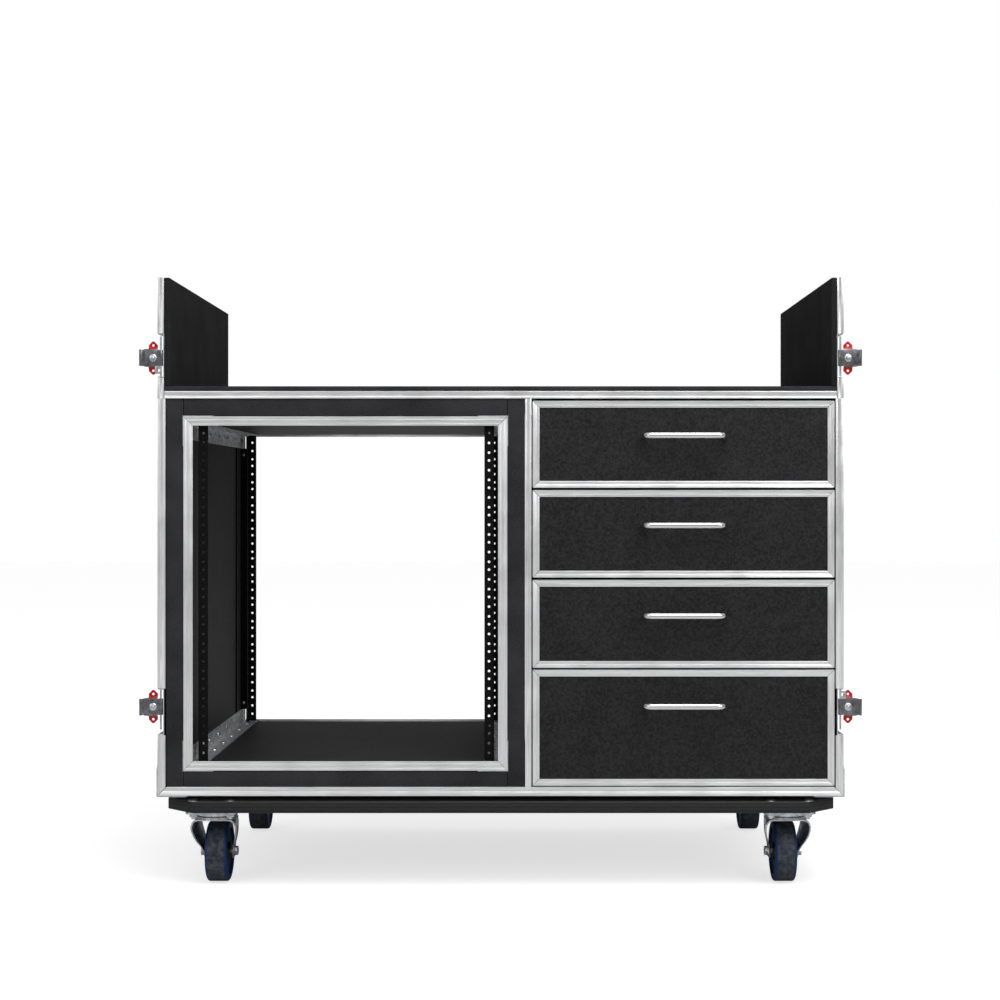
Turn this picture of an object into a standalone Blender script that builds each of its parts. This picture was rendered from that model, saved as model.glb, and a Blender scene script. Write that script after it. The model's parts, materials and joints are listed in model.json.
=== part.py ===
"""Mixer flight case on castors, standing open with both lids off.

A foam-lined well for a mixer sits on top. Below it a 12-unit rack sleeve hangs in foam on the
left, and four drawers run on slides on the right. Four butterfly latches stand swung open.

Blender 4.5, metres, +Z up. X is the width, the open front faces -Y and the floor is at Z = 0.
"""

import math

import bmesh
import bpy
from mathutils import Matrix, Vector

# Driving sizes of the case
DEPTH = 0.600
HALF_WIDTH = 0.556
BASE_Z = 0.156
TOP_Z = 0.996
HANDLE_REACH = 0.034
WHEEL_RADIUS = 0.050
TRAIL = 0.038
CASTOR_INSET = 0.056
REAR_REACH = TRAIL + WHEEL_RADIUS - CASTOR_INSET
FRONT = (HANDLE_REACH - REAR_REACH - DEPTH) / 2
BACK = FRONT + DEPTH
FIT = 0.0003
OVERCUT = 0.010
OVERLAP = 0.0005

# Plywood panels
PANEL_OUT = 0.554
PANEL_IN = 0.545
PANEL_TOP = 0.984
PANEL_INSET = 0.002
BOTTOM_PLY = (0.1580, 0.1690)
TABLE_PLY = (0.8015, 0.8105)
DIVIDER_X = (0.0412, 0.0486)
BAY_BACK_Y = (FRONT + 0.578, FRONT + 0.584)

# Aluminium edge extrusions
SKIN = 0.0017
TRIM_IN = 0.543
WING_TRIM_IN = 0.5455
OUTER_LEG = 0.030
BRACE_LEG = 0.049
BRACE_SHEET = 0.0016
BRACE_WIDTH = 0.028
INNER_LEG = 0.012
TABLE_RAIL = (0.8000, 0.8120)
TABLE_RAIL_LEG = 0.020
BOTTOM_RAIL_TOP = 0.1706
BOTTOM_RAIL_LEG = 0.025
THIN_SKIN = 0.0012
DIVIDER_TRIM_X = (0.0398, 0.0500)
TOP_CHANNEL_X = (0.5485, 0.5535)
TOP_CHANNEL_Z = (0.9875, 0.9940)

# Foam of the mixer well
LINING_IN = 0.536
LINING_OUT = 0.5447
LINING_TOP = 0.996
TABLE_LINING_TOP = 0.820

# Latches: a low and a high cut in the front extrusions, one dish in each
LATCH_CUTS = {"lower": (0.254, 0.330), "upper": (0.834, 0.906)}
LATCH_Z = {"lower": 0.300, "upper": 0.866}
DISH_X = (0.5453, 0.5557)
DISH_DEPTH = 0.060
DISH_WALL = 0.0015
PIN_X = 0.5515
PIN_Y = FRONT + 0.006
PIN_RADIUS = 0.0015
ARM_SHEET = 0.0016
ARM_HEIGHT = 0.029
KNUCKLE_RADIUS = 0.0028
KNUCKLE_HALF = 0.0095
NECK = (0.0045, 0.0058)
ARM_REACH = 0.033
HOOK_RADIUS = 0.0042
RIVET_OUT = 0.0125
RIVET_RADIUS = 0.0025
RIVET_HEAD = 0.0062
RIVET_HEAD_SHEET = 0.0012
LOCK_EYE = 0.0115
LOCK_EYE_INSIDE = 0.0024
LOCK_EYE_OUTSIDE = 0.0087
LOCK_EYE_HOLE = 0.0022
BUTTERFLY_SHEET = 0.0016
BUTTERFLY_HALF = 0.027
BUTTERFLY_EAR_HOLE = 0.0032
BUTTERFLY_EAR_AT = 0.0215
BUTTERFLY_JOGGLE = 0.003
BUTTERFLY_WAIST = 0.006
BUTTERFLY_SHOULDER = 0.0075

# Rack bay: foam, sleeve and rack rails
FOAM_X = (-0.5427, 0.0395)
FOAM_Z = (0.1709, 0.7997)
FOAM_Y = (FRONT + 0.002, FRONT + 0.574)
EDGING_X = (-0.514, 0.011)
EDGING_Z = (0.197, 0.771)
EDGING_FACE = 0.015
EDGING_LEG = 0.025
EDGING_SKIN = 0.0015
SLEEVE_Y = (FRONT + 0.001, FRONT + 0.573)
SLEEVE_PLY = 0.009
ANGLE_LEG = 0.027
ANGLE_SHEET = 0.002
ANGLE_Y = (FRONT + 0.008, FRONT + 0.566)
RACK_UNITS = 12
RACK_UNIT = 0.04445
UNIT_HOLES = (0.00635, 0.022225, 0.0381)
HOLE_SPACING_X = 0.4651
RACK_CLEAR = 0.450
RAIL_FACE = 0.0156
RAIL_LEG = 0.028
RAIL_SHEET = 0.002
RAIL_HOLE_RADIUS = 0.0034
FRONT_RAIL_Y = FRONT + 0.015
REAR_RAIL_Y = FRONT + 0.563

# Drawers, top to bottom: the two Z limits of each front
DRAWER_FRONTS = ((0.6553, 0.7962), (0.5098, 0.6516), (0.3635, 0.5061), (0.1725, 0.3606))
DRAWER_X = (0.0520, 0.5410)
DRAWER_BOX_X = (0.0625, 0.5311)
DRAWER_BOX_Y = (FRONT + 0.008, FRONT + 0.540)
DRAWER_WALL = 0.009
DRAWER_FLOOR = 0.006
DRAWER_FLOOR_LIFT = 0.008
DRAWER_HEADROOM = 0.020
DRAWER_EDGE_FACE = 0.011
DRAWER_PANEL_Y = (FRONT + 0.0015, FRONT + 0.0105)
SLIDE_Y = (FRONT + 0.014, FRONT + 0.514)
SLIDE_HALF = 0.021
SLIDE_GROOVE_HALF = 0.016
SLIDE_RUNNER_HALF = 0.0155
SLIDE_WEB = 0.0021
SLIDE_THICK = 0.0115
HANDLE_DROP = 0.057
HANDLE_SPAN = 0.128
HANDLE_ROD = 0.005
HANDLE_BEND = 0.012

# Castor board and castors
BOARD_HALF = 0.547
BOARD_Z = (0.128, 0.146)
BOARD_CHAMFER = 0.046
SPACER_XS = (-0.40, 0.0, 0.40)
SPACER_HALF = 0.030
SPACER_INSET = 0.080
CASTOR_X = 0.470
PLATE_HALF = (0.0425, 0.0525)
PLATE_SHEET = 0.003
RACE_RADIUS = 0.033
RACE_Z = (0.1175, 0.1253)
WHEEL_HALF = 0.018
AXLE_RADIUS = 0.005
AXLE_BORE = 0.0055
AXLE_LENGTH = 0.058
NUT_RADIUS = 0.0085
NUT_HEIGHT = 0.006
NUT_AT = 0.0267
HUB_BOSS_RADIUS = 0.013
HUB_BOSS_HALF = 0.0198
HUB_WEB_HALF = 0.014
HUB_SLOPE = 0.002
TYRE_SEAT_RADIUS = 0.039
TYRE_ROUND = 0.0045
FORK_SHEET = 0.003
FORK_SECTION = (
    (0.0225, 0.0, 0.038, 0.030, 0.046),
    (0.0225, 0.0, 0.050, 0.024, 0.052),
    (0.0250, 0.0012, 0.064, 0.006, 0.053),
    (0.0303, 0.0028, 0.078, -0.012, 0.050),
    (0.0330, 0.0034, 0.091, -0.024, 0.042),
    (0.0335, 0.0030, 0.102, -0.029, 0.036),
    (0.0308, 0.0016, 0.109, -0.031, 0.033),
)
FORK_CROWN_Z = 0.1125
FORK_RACE_RADIUS = 0.035
WHEEL_STEPS = 24
ROUND_STEPS = 20

SIDES = {"left": -1, "right": 1}

parts = None
cutters = None


def clear_scene():
    """Remove every object that is in the scene."""
    for obj in list(bpy.data.objects):
        bpy.data.objects.remove(obj, do_unlink=True)


def make_collections():
    """Make one collection for the case and one for its cutters."""
    global parts, cutters
    parts = bpy.data.collections.new("mixer_flight_case")
    cutters = bpy.data.collections.new("cutters")
    bpy.context.scene.collection.children.link(parts)
    bpy.context.scene.collection.children.link(cutters)


def material(name, color, roughness, metallic=0.0):
    """Return a Principled material with one colour."""
    mat = bpy.data.materials.new(name)
    mat.use_nodes = True
    shader = mat.node_tree.nodes["Principled BSDF"]
    shader.inputs["Base Color"].default_value = (*color, 1.0)
    shader.inputs["Roughness"].default_value = roughness
    shader.inputs["Metallic"].default_value = metallic
    return mat


def settle(obj, collection):
    """Move an object into one collection."""
    for used in list(obj.users_collection):
        used.objects.unlink(obj)
    collection.objects.link(obj)


def as_part(obj, name, finish):
    """Name an object as a sub-part and give it its material."""
    obj.name = name
    obj.data.name = name
    obj.data.materials.clear()
    obj.data.materials.append(finish)
    settle(obj, parts)
    return obj


def as_cutter(obj):
    """Hide an object that only cuts or joins another."""
    obj.hide_render = True
    obj.display_type = "WIRE"
    settle(obj, cutters)
    return obj


def box(low, high):
    """Return a box between two corners, its origin at its middle."""
    low = Vector(low)
    high = Vector(high)
    bpy.ops.mesh.primitive_cube_add(size=1.0, location=(low + high) / 2)
    obj = bpy.context.object
    obj.data.transform(Matrix.Diagonal((*(high - low), 1.0)))
    return obj


def side_box(side, x_range, y_range, z_range):
    """Return a box on one side of the case; x_range is measured outward from the middle."""
    near, far = (side * x for x in x_range)
    return box((min(near, far), y_range[0], z_range[0]), (max(near, far), y_range[1], z_range[1]))


def cylinder(radius, length, centre, axis="Z", sides=ROUND_STEPS):
    """Return a closed cylinder along one axis."""
    turn = {"X": (0, math.pi / 2, 0), "Y": (math.pi / 2, 0, 0), "Z": (0, 0, 0)}[axis]
    bpy.ops.mesh.primitive_cylinder_add(
        vertices=sides, radius=radius, depth=length, location=centre, rotation=turn
    )
    return bpy.context.object


def drills(radius, length, places, axis, sides):
    """Return one cutter that holds a cylinder at each place."""
    turn = {"X": Matrix.Rotation(math.pi / 2, 4, "Y"), "Y": Matrix.Rotation(math.pi / 2, 4, "X")}[axis]
    shape = bmesh.new()
    for place in places:
        bmesh.ops.create_cone(
            shape,
            cap_ends=True,
            segments=sides,
            radius1=radius,
            radius2=radius,
            depth=length,
            matrix=Matrix.Translation(place) @ turn,
        )
    mesh = bpy.data.meshes.new("drills")
    shape.to_mesh(mesh)
    shape.free()
    obj = bpy.data.objects.new("drills", mesh)
    bpy.context.scene.collection.objects.link(obj)
    return obj


def boolean(obj, tools, operation):
    """Cut the tools from an object, or join them to it."""
    for tool in tools:
        as_cutter(tool)
        step = obj.modifiers.new(operation.lower(), "BOOLEAN")
        step.operation = operation
        step.object = tool


def cut(obj, *tools):
    """Cut each tool out of an object."""
    boolean(obj, tools, "DIFFERENCE")
    return obj


def join(obj, *tools):
    """Join each tool to an object."""
    boolean(obj, tools, "UNION")
    return obj


def evaluated_mesh(obj):
    """Return the mesh of an object after its modifiers."""
    bpy.context.view_layer.update()
    graph = bpy.context.evaluated_depsgraph_get()
    return bpy.data.meshes.new_from_object(obj.evaluated_get(graph), depsgraph=graph)


def freeze(obj):
    """Turn an object's modifiers into mesh and drop the tools that they used."""
    mesh = evaluated_mesh(obj)
    tools = [step.object for step in obj.modifiers if step.type == "BOOLEAN"]
    obj.modifiers.clear()
    obj.data = mesh
    for tool in tools:
        bpy.data.objects.remove(tool, do_unlink=True)
    return obj


def mesh_from_curve(curve_obj):
    """Return a mesh object in place of a curve, its caps welded."""
    mesh = evaluated_mesh(curve_obj)
    shape = bmesh.new()
    shape.from_mesh(mesh)
    bmesh.ops.remove_doubles(shape, verts=shape.verts, dist=0.00001)
    bmesh.ops.recalc_face_normals(shape, faces=shape.faces)
    shape.to_mesh(mesh)
    shape.free()
    obj = bpy.data.objects.new(curve_obj.name, mesh)
    obj.matrix_world = curve_obj.matrix_world
    bpy.context.scene.collection.objects.link(obj)
    bpy.data.objects.remove(curve_obj, do_unlink=True)
    return obj


def curve_object(name, splines, closed, dimensions):
    """Return a curve object with POLY splines through lists of points."""
    curve = bpy.data.curves.new(name, "CURVE")
    curve.dimensions = dimensions
    for points in splines:
        spline = curve.splines.new("POLY")
        spline.points.add(len(points) - 1)
        for point, place in zip(spline.points, points):
            point.co = (*place, 1.0)
        spline.use_cyclic_u = closed
    obj = bpy.data.objects.new(name, curve)
    bpy.context.scene.collection.objects.link(obj)
    return obj


def plate(name, outlines, thickness):
    """Return a flat plate in its own XY plane; outlines after the first are holes."""
    flat = [[(x, y, 0.0) for x, y in outline] for outline in outlines]
    obj = curve_object(name, flat, True, "2D")
    obj.data.fill_mode = "BOTH"
    obj.data.extrude = thickness / 2
    return mesh_from_curve(obj)


def arc(centre, radius, start_deg, end_deg, steps):
    """Return points along an arc, both ends included."""
    span = math.radians(end_deg - start_deg)
    first = math.radians(start_deg)
    angles = [first + span * i / steps for i in range(steps + 1)]
    return [(centre[0] + radius * math.cos(a), centre[1] + radius * math.sin(a)) for a in angles]


def ring(centre, radius, sides):
    """Return the points of a closed circle."""
    return arc(centre, radius, 0.0, 360.0, sides)[:-1]


def turned(name, profile, steps):
    """Return a body turned about Z from a closed profile of radius and height."""
    mesh = bpy.data.meshes.new(name)
    points = [(radius, 0.0, height) for radius, height in profile]
    edges = [(i, (i + 1) % len(points)) for i in range(len(points))]
    mesh.from_pydata(points, edges, [])
    obj = bpy.data.objects.new(name, mesh)
    bpy.context.scene.collection.objects.link(obj)
    screw = obj.modifiers.new("turn", "SCREW")
    screw.axis = "Z"
    screw.steps = steps
    screw.render_steps = steps
    screw.use_merge_vertices = True
    screw.merge_threshold = 0.00005
    return freeze(obj)


def bent_sheet(name, rows, thickness):
    """Return a sheet bent through rows of points, thickened about its middle surface."""
    mesh = bpy.data.meshes.new(name)
    shape = bmesh.new()
    grid = [[shape.verts.new(point) for point in row] for row in rows]
    for upper, lower in zip(grid, grid[1:]):
        for i in range(len(upper) - 1):
            shape.faces.new((upper[i], upper[i + 1], lower[i + 1], lower[i]))
    shape.to_mesh(mesh)
    shape.free()
    obj = bpy.data.objects.new(name, mesh)
    bpy.context.scene.collection.objects.link(obj)
    wall = obj.modifiers.new("wall", "SOLIDIFY")
    wall.thickness = thickness
    wall.offset = 0.0
    wall.use_even_offset = True
    freeze(obj)
    turn_outward(obj)
    return obj


def turn_outward(obj):
    """Point every face of a closed body outward."""
    shape = bmesh.new()
    shape.from_mesh(obj.data)
    bmesh.ops.recalc_face_normals(shape, faces=shape.faces)
    shape.to_mesh(obj.data)
    shape.free()


def round_shading(obj, degrees=35.0):
    """Shade a round piece smooth and keep its sharp edges."""
    obj.data.shade_smooth()
    obj.data.set_sharp_from_angle(angle=math.radians(degrees))
    return obj


def slide_channels(x_panel, inward):
    """Return the outer channels of the four drawer slides on one wall of the bay."""
    channels = []
    reach = x_panel + inward * SLIDE_THICK
    root = x_panel - inward * OVERLAP
    web = x_panel + inward * SLIDE_WEB
    mouth = reach + inward * OVERCUT
    for low, high in DRAWER_FRONTS:
        middle = slide_height(low, high)
        channel = box(
            (min(root, reach), SLIDE_Y[0], middle - SLIDE_HALF),
            (max(root, reach), SLIDE_Y[1], middle + SLIDE_HALF),
        )
        groove = box(
            (min(web, mouth), SLIDE_Y[0] - OVERCUT, middle - SLIDE_GROOVE_HALF),
            (max(web, mouth), SLIDE_Y[1] + OVERCUT, middle + SLIDE_GROOVE_HALF),
        )
        channels.append(freeze(cut(channel, groove)))
    return channels


def slide_height(low, high):
    """Return the height of a drawer's slides, a little below the middle of its front."""
    return (low + high) / 2 - SLIDE_GROOVE_HALF / 2


def make_side_panel(word, side, finish):
    """Make one outer side panel with its two latch notches."""
    panel = side_box(
        side,
        (PANEL_IN, PANEL_OUT),
        (FRONT + PANEL_INSET, BACK - PANEL_INSET),
        (BASE_Z + PANEL_INSET, PANEL_TOP),
    )
    if word == "right":
        join(panel, *slide_channels(PANEL_IN, -1))
    for low, high in LATCH_CUTS.values():
        notch = side_box(
            side,
            (PANEL_IN, PANEL_OUT + OVERCUT),
            (FRONT - OVERCUT, FRONT + DISH_DEPTH + FIT),
            (low, high),
        )
        cut(panel, notch)
    return as_part(panel, f"side_panel_{word}", finish)


def corner_brace(side, y_range):
    """Return the steel angle over one bottom corner of the case, lapped on the extrusion."""
    outside = HALF_WIDTH + BRACE_SHEET
    inside = HALF_WIDTH - BRACE_LEG
    under = BASE_Z - FIT - BRACE_SHEET
    brace = side_box(side, (inside, outside), y_range, (under, BASE_Z + BRACE_LEG))
    corner = side_box(
        side,
        (inside - OVERCUT, HALF_WIDTH - OVERLAP),
        (y_range[0] - OVERCUT, y_range[1] + OVERCUT),
        (BASE_Z - FIT, BASE_Z + BRACE_LEG + OVERCUT),
    )
    cut(brace, corner)
    lap = side_box(
        side,
        (TRIM_IN + OVERLAP, HALF_WIDTH),
        (y_range[0] + BRACE_SHEET, y_range[1] - BRACE_SHEET),
        (BASE_Z - FIT - OVERLAP, BASE_Z + OVERLAP),
    )
    join(brace, lap)
    return freeze(brace)


def make_edge_trim(word, side, finish):
    """Make the extrusion that runs round a side panel, open between the two latches."""
    trim = side_box(side, (TRIM_IN, HALF_WIDTH), (FRONT, BACK), (BASE_Z, TOP_Z))
    cavity = side_box(
        side,
        (PANEL_IN - FIT, PANEL_OUT + FIT),
        (FRONT + SKIN, BACK - SKIN),
        (BASE_Z + SKIN, TOP_Z - SKIN),
    )
    outer_window = side_box(
        side,
        (PANEL_OUT, HALF_WIDTH + OVERCUT),
        (FRONT + OUTER_LEG, BACK - OUTER_LEG),
        (BASE_Z + OUTER_LEG, TOP_Z - OUTER_LEG),
    )
    inner_window = side_box(
        side,
        (TRIM_IN - OVERCUT, PANEL_IN),
        (FRONT + INNER_LEG, BACK - INNER_LEG),
        (BASE_Z + INNER_LEG, TOP_Z),
    )
    wing_window = side_box(
        side,
        (TRIM_IN - OVERCUT, WING_TRIM_IN),
        (FRONT - OVERCUT, BACK + OVERCUT),
        (TABLE_RAIL[0] - FIT, TOP_Z + OVERCUT),
    )
    front_gap = side_box(
        side,
        (TRIM_IN - OVERCUT, HALF_WIDTH + OVERCUT),
        (FRONT - OVERCUT, FRONT + OUTER_LEG + FIT),
        (LATCH_CUTS["lower"][0], LATCH_CUTS["upper"][1]),
    )
    channel_end = side_box(side, TOP_CHANNEL_X, (FRONT - OVERCUT, FRONT + OVERCUT), TOP_CHANNEL_Z)
    cut(trim, cavity, outer_window, inner_window, wing_window, front_gap, channel_end)
    for y_range in ((FRONT + FIT, FRONT + BRACE_WIDTH), (BACK - BRACE_WIDTH, BACK - FIT)):
        join(trim, corner_brace(side, y_range))
    return as_part(trim, f"edge_trim_{word}", finish)


def make_latch_dish(level, word, side, finish):
    """Make one latch dish with its hinge pin, a tray open to the front and to the outside."""
    low = LATCH_CUTS[level][0] + FIT
    high = LATCH_CUTS[level][1] - FIT
    dish_y = (FRONT + DISH_WALL, FRONT + DISH_DEPTH)
    dish = side_box(side, DISH_X, dish_y, (low, high))
    pocket = side_box(
        side,
        (DISH_X[0] + DISH_WALL, DISH_X[1] + OVERCUT),
        (FRONT - OVERCUT, FRONT + DISH_DEPTH - DISH_WALL),
        (low + DISH_WALL, high - DISH_WALL),
    )
    cut(dish, pocket)
    length = high - low - DISH_WALL
    pin = cylinder(PIN_RADIUS, length, (side * PIN_X, PIN_Y, (low + high) / 2), sides=10)
    join(dish, pin)
    return as_part(dish, f"latch_dish_{level}_{word}", finish)


def make_middle_trim(word, side, finish):
    """Make the length of front extrusion between the two latches of one side."""
    low = LATCH_CUTS["lower"][1]
    high = LATCH_CUTS["upper"][0]
    trim = side_box(side, (TRIM_IN, HALF_WIDTH), (FRONT, FRONT + OUTER_LEG), (low, high))
    through = (low - OVERCUT, high + OVERCUT)
    cavity = side_box(
        side,
        (PANEL_IN - FIT, PANEL_OUT + FIT),
        (FRONT + SKIN, FRONT + OUTER_LEG + OVERCUT),
        through,
    )
    inner = side_box(
        side,
        (TRIM_IN - OVERCUT, PANEL_IN),
        (FRONT + INNER_LEG, FRONT + OUTER_LEG + OVERCUT),
        through,
    )
    wing = side_box(
        side,
        (TRIM_IN - OVERCUT, WING_TRIM_IN),
        (FRONT - OVERCUT, FRONT + OUTER_LEG + OVERCUT),
        (TABLE_RAIL[0] - FIT, high + OVERCUT),
    )
    cut(trim, cavity, inner, wing)
    return as_part(trim, f"latch_trim_{word}", finish)


def channel_rail(x_range, y_range, z_range, skin, opens_to):
    """Return a U channel that caps a panel edge; opens_to is +1 to the back, -1 to the front."""
    rail = box((x_range[0], y_range[0], z_range[0]), (x_range[1], y_range[1], z_range[1]))
    if opens_to > 0:
        slot_y = (y_range[0] + skin, y_range[1] + OVERCUT)
    else:
        slot_y = (y_range[0] - OVERCUT, y_range[1] - skin)
    slot = box(
        (x_range[0] - OVERCUT, slot_y[0], z_range[0] + skin),
        (x_range[1] + OVERCUT, slot_y[1], z_range[1] - skin),
    )
    return cut(rail, slot)


def make_rails(finish):
    """Make the rails that cap the table and the bottom panel, front and back."""
    table_x = (-PANEL_IN + FIT, PANEL_IN - FIT)
    bottom_x = (-TRIM_IN + FIT, TRIM_IN - FIT)
    bottom_z = (BASE_Z, BOTTOM_RAIL_TOP)
    front_table = (FRONT, FRONT + TABLE_RAIL_LEG)
    rear_table = (BACK - TABLE_RAIL_LEG, BACK)
    front_bottom = (FRONT, FRONT + BOTTOM_RAIL_LEG)
    rear_bottom = (BACK - BOTTOM_RAIL_LEG, BACK)
    as_part(channel_rail(table_x, front_table, TABLE_RAIL, THIN_SKIN, 1), "table_front_rail", finish)
    as_part(channel_rail(table_x, rear_table, TABLE_RAIL, THIN_SKIN, -1), "table_rear_rail", finish)
    as_part(channel_rail(bottom_x, front_bottom, bottom_z, THIN_SKIN, 1), "bottom_front_rail", finish)
    as_part(channel_rail(bottom_x, rear_bottom, bottom_z, THIN_SKIN, -1), "bottom_rear_rail", finish)
    trim_z = (BOTTOM_RAIL_TOP + FIT, TABLE_RAIL[0] - FIT)
    trim = box((DIVIDER_TRIM_X[0], FRONT, trim_z[0]), (DIVIDER_TRIM_X[1], FRONT + INNER_LEG, trim_z[1]))
    slot = box(
        (DIVIDER_TRIM_X[0] + THIN_SKIN - FIT / 2, FRONT + SKIN, trim_z[0] - OVERCUT),
        (DIVIDER_TRIM_X[1] - THIN_SKIN + FIT / 2, FRONT + INNER_LEG + OVERCUT, trim_z[1] + OVERCUT),
    )
    as_part(cut(trim, slot), "divider_trim", finish)


def make_inner_panels(finish):
    """Make the table, the bottom and the divider, which holds the back of the drawer bay."""
    panel_y = (FRONT + PANEL_INSET, BACK - PANEL_INSET)
    half_table = PANEL_IN - FIT
    half_bottom = TRIM_IN - FIT
    table = box((-half_table, panel_y[0], TABLE_PLY[0]), (half_table, panel_y[1], TABLE_PLY[1]))
    bottom = box((-half_bottom, panel_y[0], BOTTOM_PLY[0]), (half_bottom, panel_y[1], BOTTOM_PLY[1]))
    inner_z = (BOTTOM_PLY[1] + FIT, TABLE_PLY[0] - FIT)
    leg_z = (BOTTOM_RAIL_TOP + FIT, TABLE_RAIL[0] - FIT)
    divider = box((DIVIDER_X[0], panel_y[0], inner_z[0]), (DIVIDER_X[1], panel_y[1], inner_z[1]))
    notches = []
    for z_range in ((inner_z[0] - OVERCUT, leg_z[0]), (leg_z[1], inner_z[1] + OVERCUT)):
        front_notch = box(
            (DIVIDER_X[0] - OVERCUT, FRONT - OVERCUT, z_range[0]),
            (DIVIDER_X[1] + OVERCUT, FRONT + BOTTOM_RAIL_LEG + FIT, z_range[1]),
        )
        rear_notch = box(
            (DIVIDER_X[0] - OVERCUT, BACK - BOTTOM_RAIL_LEG - FIT, z_range[0]),
            (HALF_WIDTH, BACK + OVERCUT, z_range[1]),
        )
        notches += [front_notch, rear_notch]
    back = box(
        (DIVIDER_X[1] - OVERLAP, BAY_BACK_Y[0], inner_z[0]),
        (PANEL_IN - FIT, BAY_BACK_Y[1], inner_z[1]),
    )
    join(divider, back, *slide_channels(DIVIDER_X[1], 1))
    cut(divider, *notches)
    as_part(table, "table_top", finish)
    as_part(bottom, "bottom_panel", finish)
    as_part(divider, "centre_divider", finish)


def make_lining(finish):
    """Make the foam of the mixer well: a sheet on the table glued to one on each wing."""
    lining = box((-LINING_OUT, FRONT, TABLE_RAIL[1] + FIT), (LINING_OUT, BACK, LINING_TOP))
    well = box(
        (-LINING_IN, FRONT - OVERCUT, TABLE_LINING_TOP),
        (LINING_IN, BACK + OVERCUT, LINING_TOP + OVERCUT),
    )
    return as_part(cut(lining, well), "well_lining", finish)


def frame_tube(x_range, y_range, z_range, wall):
    """Return a rectangular tube along Y."""
    tube = box((x_range[0], y_range[0], z_range[0]), (x_range[1], y_range[1], z_range[1]))
    hole = box(
        (x_range[0] + wall, y_range[0] - OVERCUT, z_range[0] + wall),
        (x_range[1] - wall, y_range[1] + OVERCUT, z_range[1] - wall),
    )
    return cut(tube, hole)


def edging_ring(x_range, y_range, z_range, face, skin, front_face):
    """Return a mitred L-section ring: a face of one width and a leg along the outside."""
    edge = frame_tube(x_range, y_range, z_range, face)
    if front_face:
        rebate_y = (y_range[0] + skin, y_range[1] + OVERCUT)
    else:
        rebate_y = (y_range[0] - OVERCUT, y_range[1] - skin)
    rebate = box(
        (x_range[0] + skin, rebate_y[0], z_range[0] + skin),
        (x_range[1] - skin, rebate_y[1], z_range[1] - skin),
    )
    return cut(edge, rebate)


def make_rack_sleeve(foam_finish, ply_finish, edge_finish):
    """Make the foam ring, the plywood sleeve that hangs in it and the sleeve's edging."""
    foam = box((FOAM_X[0], FOAM_Y[0], FOAM_Z[0]), (FOAM_X[1], FOAM_Y[1], FOAM_Z[1]))
    hole = box(
        (EDGING_X[0] - FIT, FOAM_Y[0] - OVERCUT, EDGING_Z[0] - FIT),
        (EDGING_X[1] + FIT, FOAM_Y[1] + OVERCUT, EDGING_Z[1] + FIT),
    )
    as_part(cut(foam, hole), "rack_foam", foam_finish)
    inset = EDGING_SKIN + FIT
    sleeve = frame_tube(
        (EDGING_X[0] + inset, EDGING_X[1] - inset),
        (SLEEVE_Y[0] + inset, SLEEVE_Y[1] - inset),
        (EDGING_Z[0] + inset, EDGING_Z[1] - inset),
        SLEEVE_PLY,
    )
    as_part(sleeve, "rack_sleeve", ply_finish)
    front_y = (SLEEVE_Y[0], SLEEVE_Y[0] + EDGING_LEG)
    rear_y = (SLEEVE_Y[1] - EDGING_LEG, SLEEVE_Y[1])
    front = edging_ring(EDGING_X, front_y, EDGING_Z, EDGING_FACE, EDGING_SKIN, True)
    rear = edging_ring(EDGING_X, rear_y, EDGING_Z, EDGING_FACE, EDGING_SKIN, False)
    as_part(front, "sleeve_edging_front", edge_finish)
    as_part(rear, "sleeve_edging_rear", edge_finish)


def make_mount_angles(finish):
    """Make the steel angles that run front to back in the four corners of the sleeve."""
    inset = EDGING_SKIN + FIT + SLEEVE_PLY + FIT
    walls_x = {"left": (EDGING_X[0] + inset, 1), "right": (EDGING_X[1] - inset, -1)}
    walls_z = {"lower": (EDGING_Z[0] + inset, 1), "upper": (EDGING_Z[1] - inset, -1)}
    for x_word, (x, x_way) in walls_x.items():
        for z_word, (z, z_way) in walls_z.items():
            far_x = x + x_way * ANGLE_LEG
            far_z = z + z_way * ANGLE_LEG
            angle = box(
                (min(x, far_x), ANGLE_Y[0], min(z, far_z)), (max(x, far_x), ANGLE_Y[1], max(z, far_z))
            )
            near_x, near_z = x + x_way * ANGLE_SHEET, z + z_way * ANGLE_SHEET
            over_x, over_z = far_x + x_way * OVERCUT, far_z + z_way * OVERCUT
            inside = box(
                (min(near_x, over_x), ANGLE_Y[0] - OVERCUT, min(near_z, over_z)),
                (max(near_x, over_x), ANGLE_Y[1] + OVERCUT, max(near_z, over_z)),
            )
            as_part(cut(angle, inside), f"mount_angle_{z_word}_{x_word}", finish)


def rack_rail(x_way, y_way):
    """Return one rack rail, its face at Y = 0 and X measured from the rack's middle.

    x_way is the side of the rack that the rail is on and y_way the way that its leg runs back.
    """
    height = RACK_UNITS * RACK_UNIT
    near = x_way * RACK_CLEAR / 2
    far = near + x_way * RAIL_FACE
    leg_x = far - x_way * RAIL_SHEET
    lug = (EDGING_Z[1] - EDGING_Z[0]) / 2 - EDGING_SKIN - SLEEVE_PLY - ANGLE_SHEET - 3 * FIT
    face = box(
        (min(near, far), min(0.0, y_way * RAIL_SHEET), -height / 2),
        (max(near, far), max(0.0, y_way * RAIL_SHEET), height / 2),
    )
    leg = box(
        (min(leg_x, far), min(0.0, y_way * RAIL_LEG), -lug),
        (max(leg_x, far), max(0.0, y_way * RAIL_LEG), lug),
    )
    join(face, leg)
    heights = [
        unit * RACK_UNIT + offset - height / 2 for unit in range(RACK_UNITS) for offset in UNIT_HOLES
    ]
    places = [(x_way * HOLE_SPACING_X / 2, y_way * RAIL_SHEET / 2, z) for z in heights]
    cut(face, drills(RAIL_HOLE_RADIUS, RAIL_SHEET * 4, places, "Y", 6))
    return freeze(face)


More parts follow.
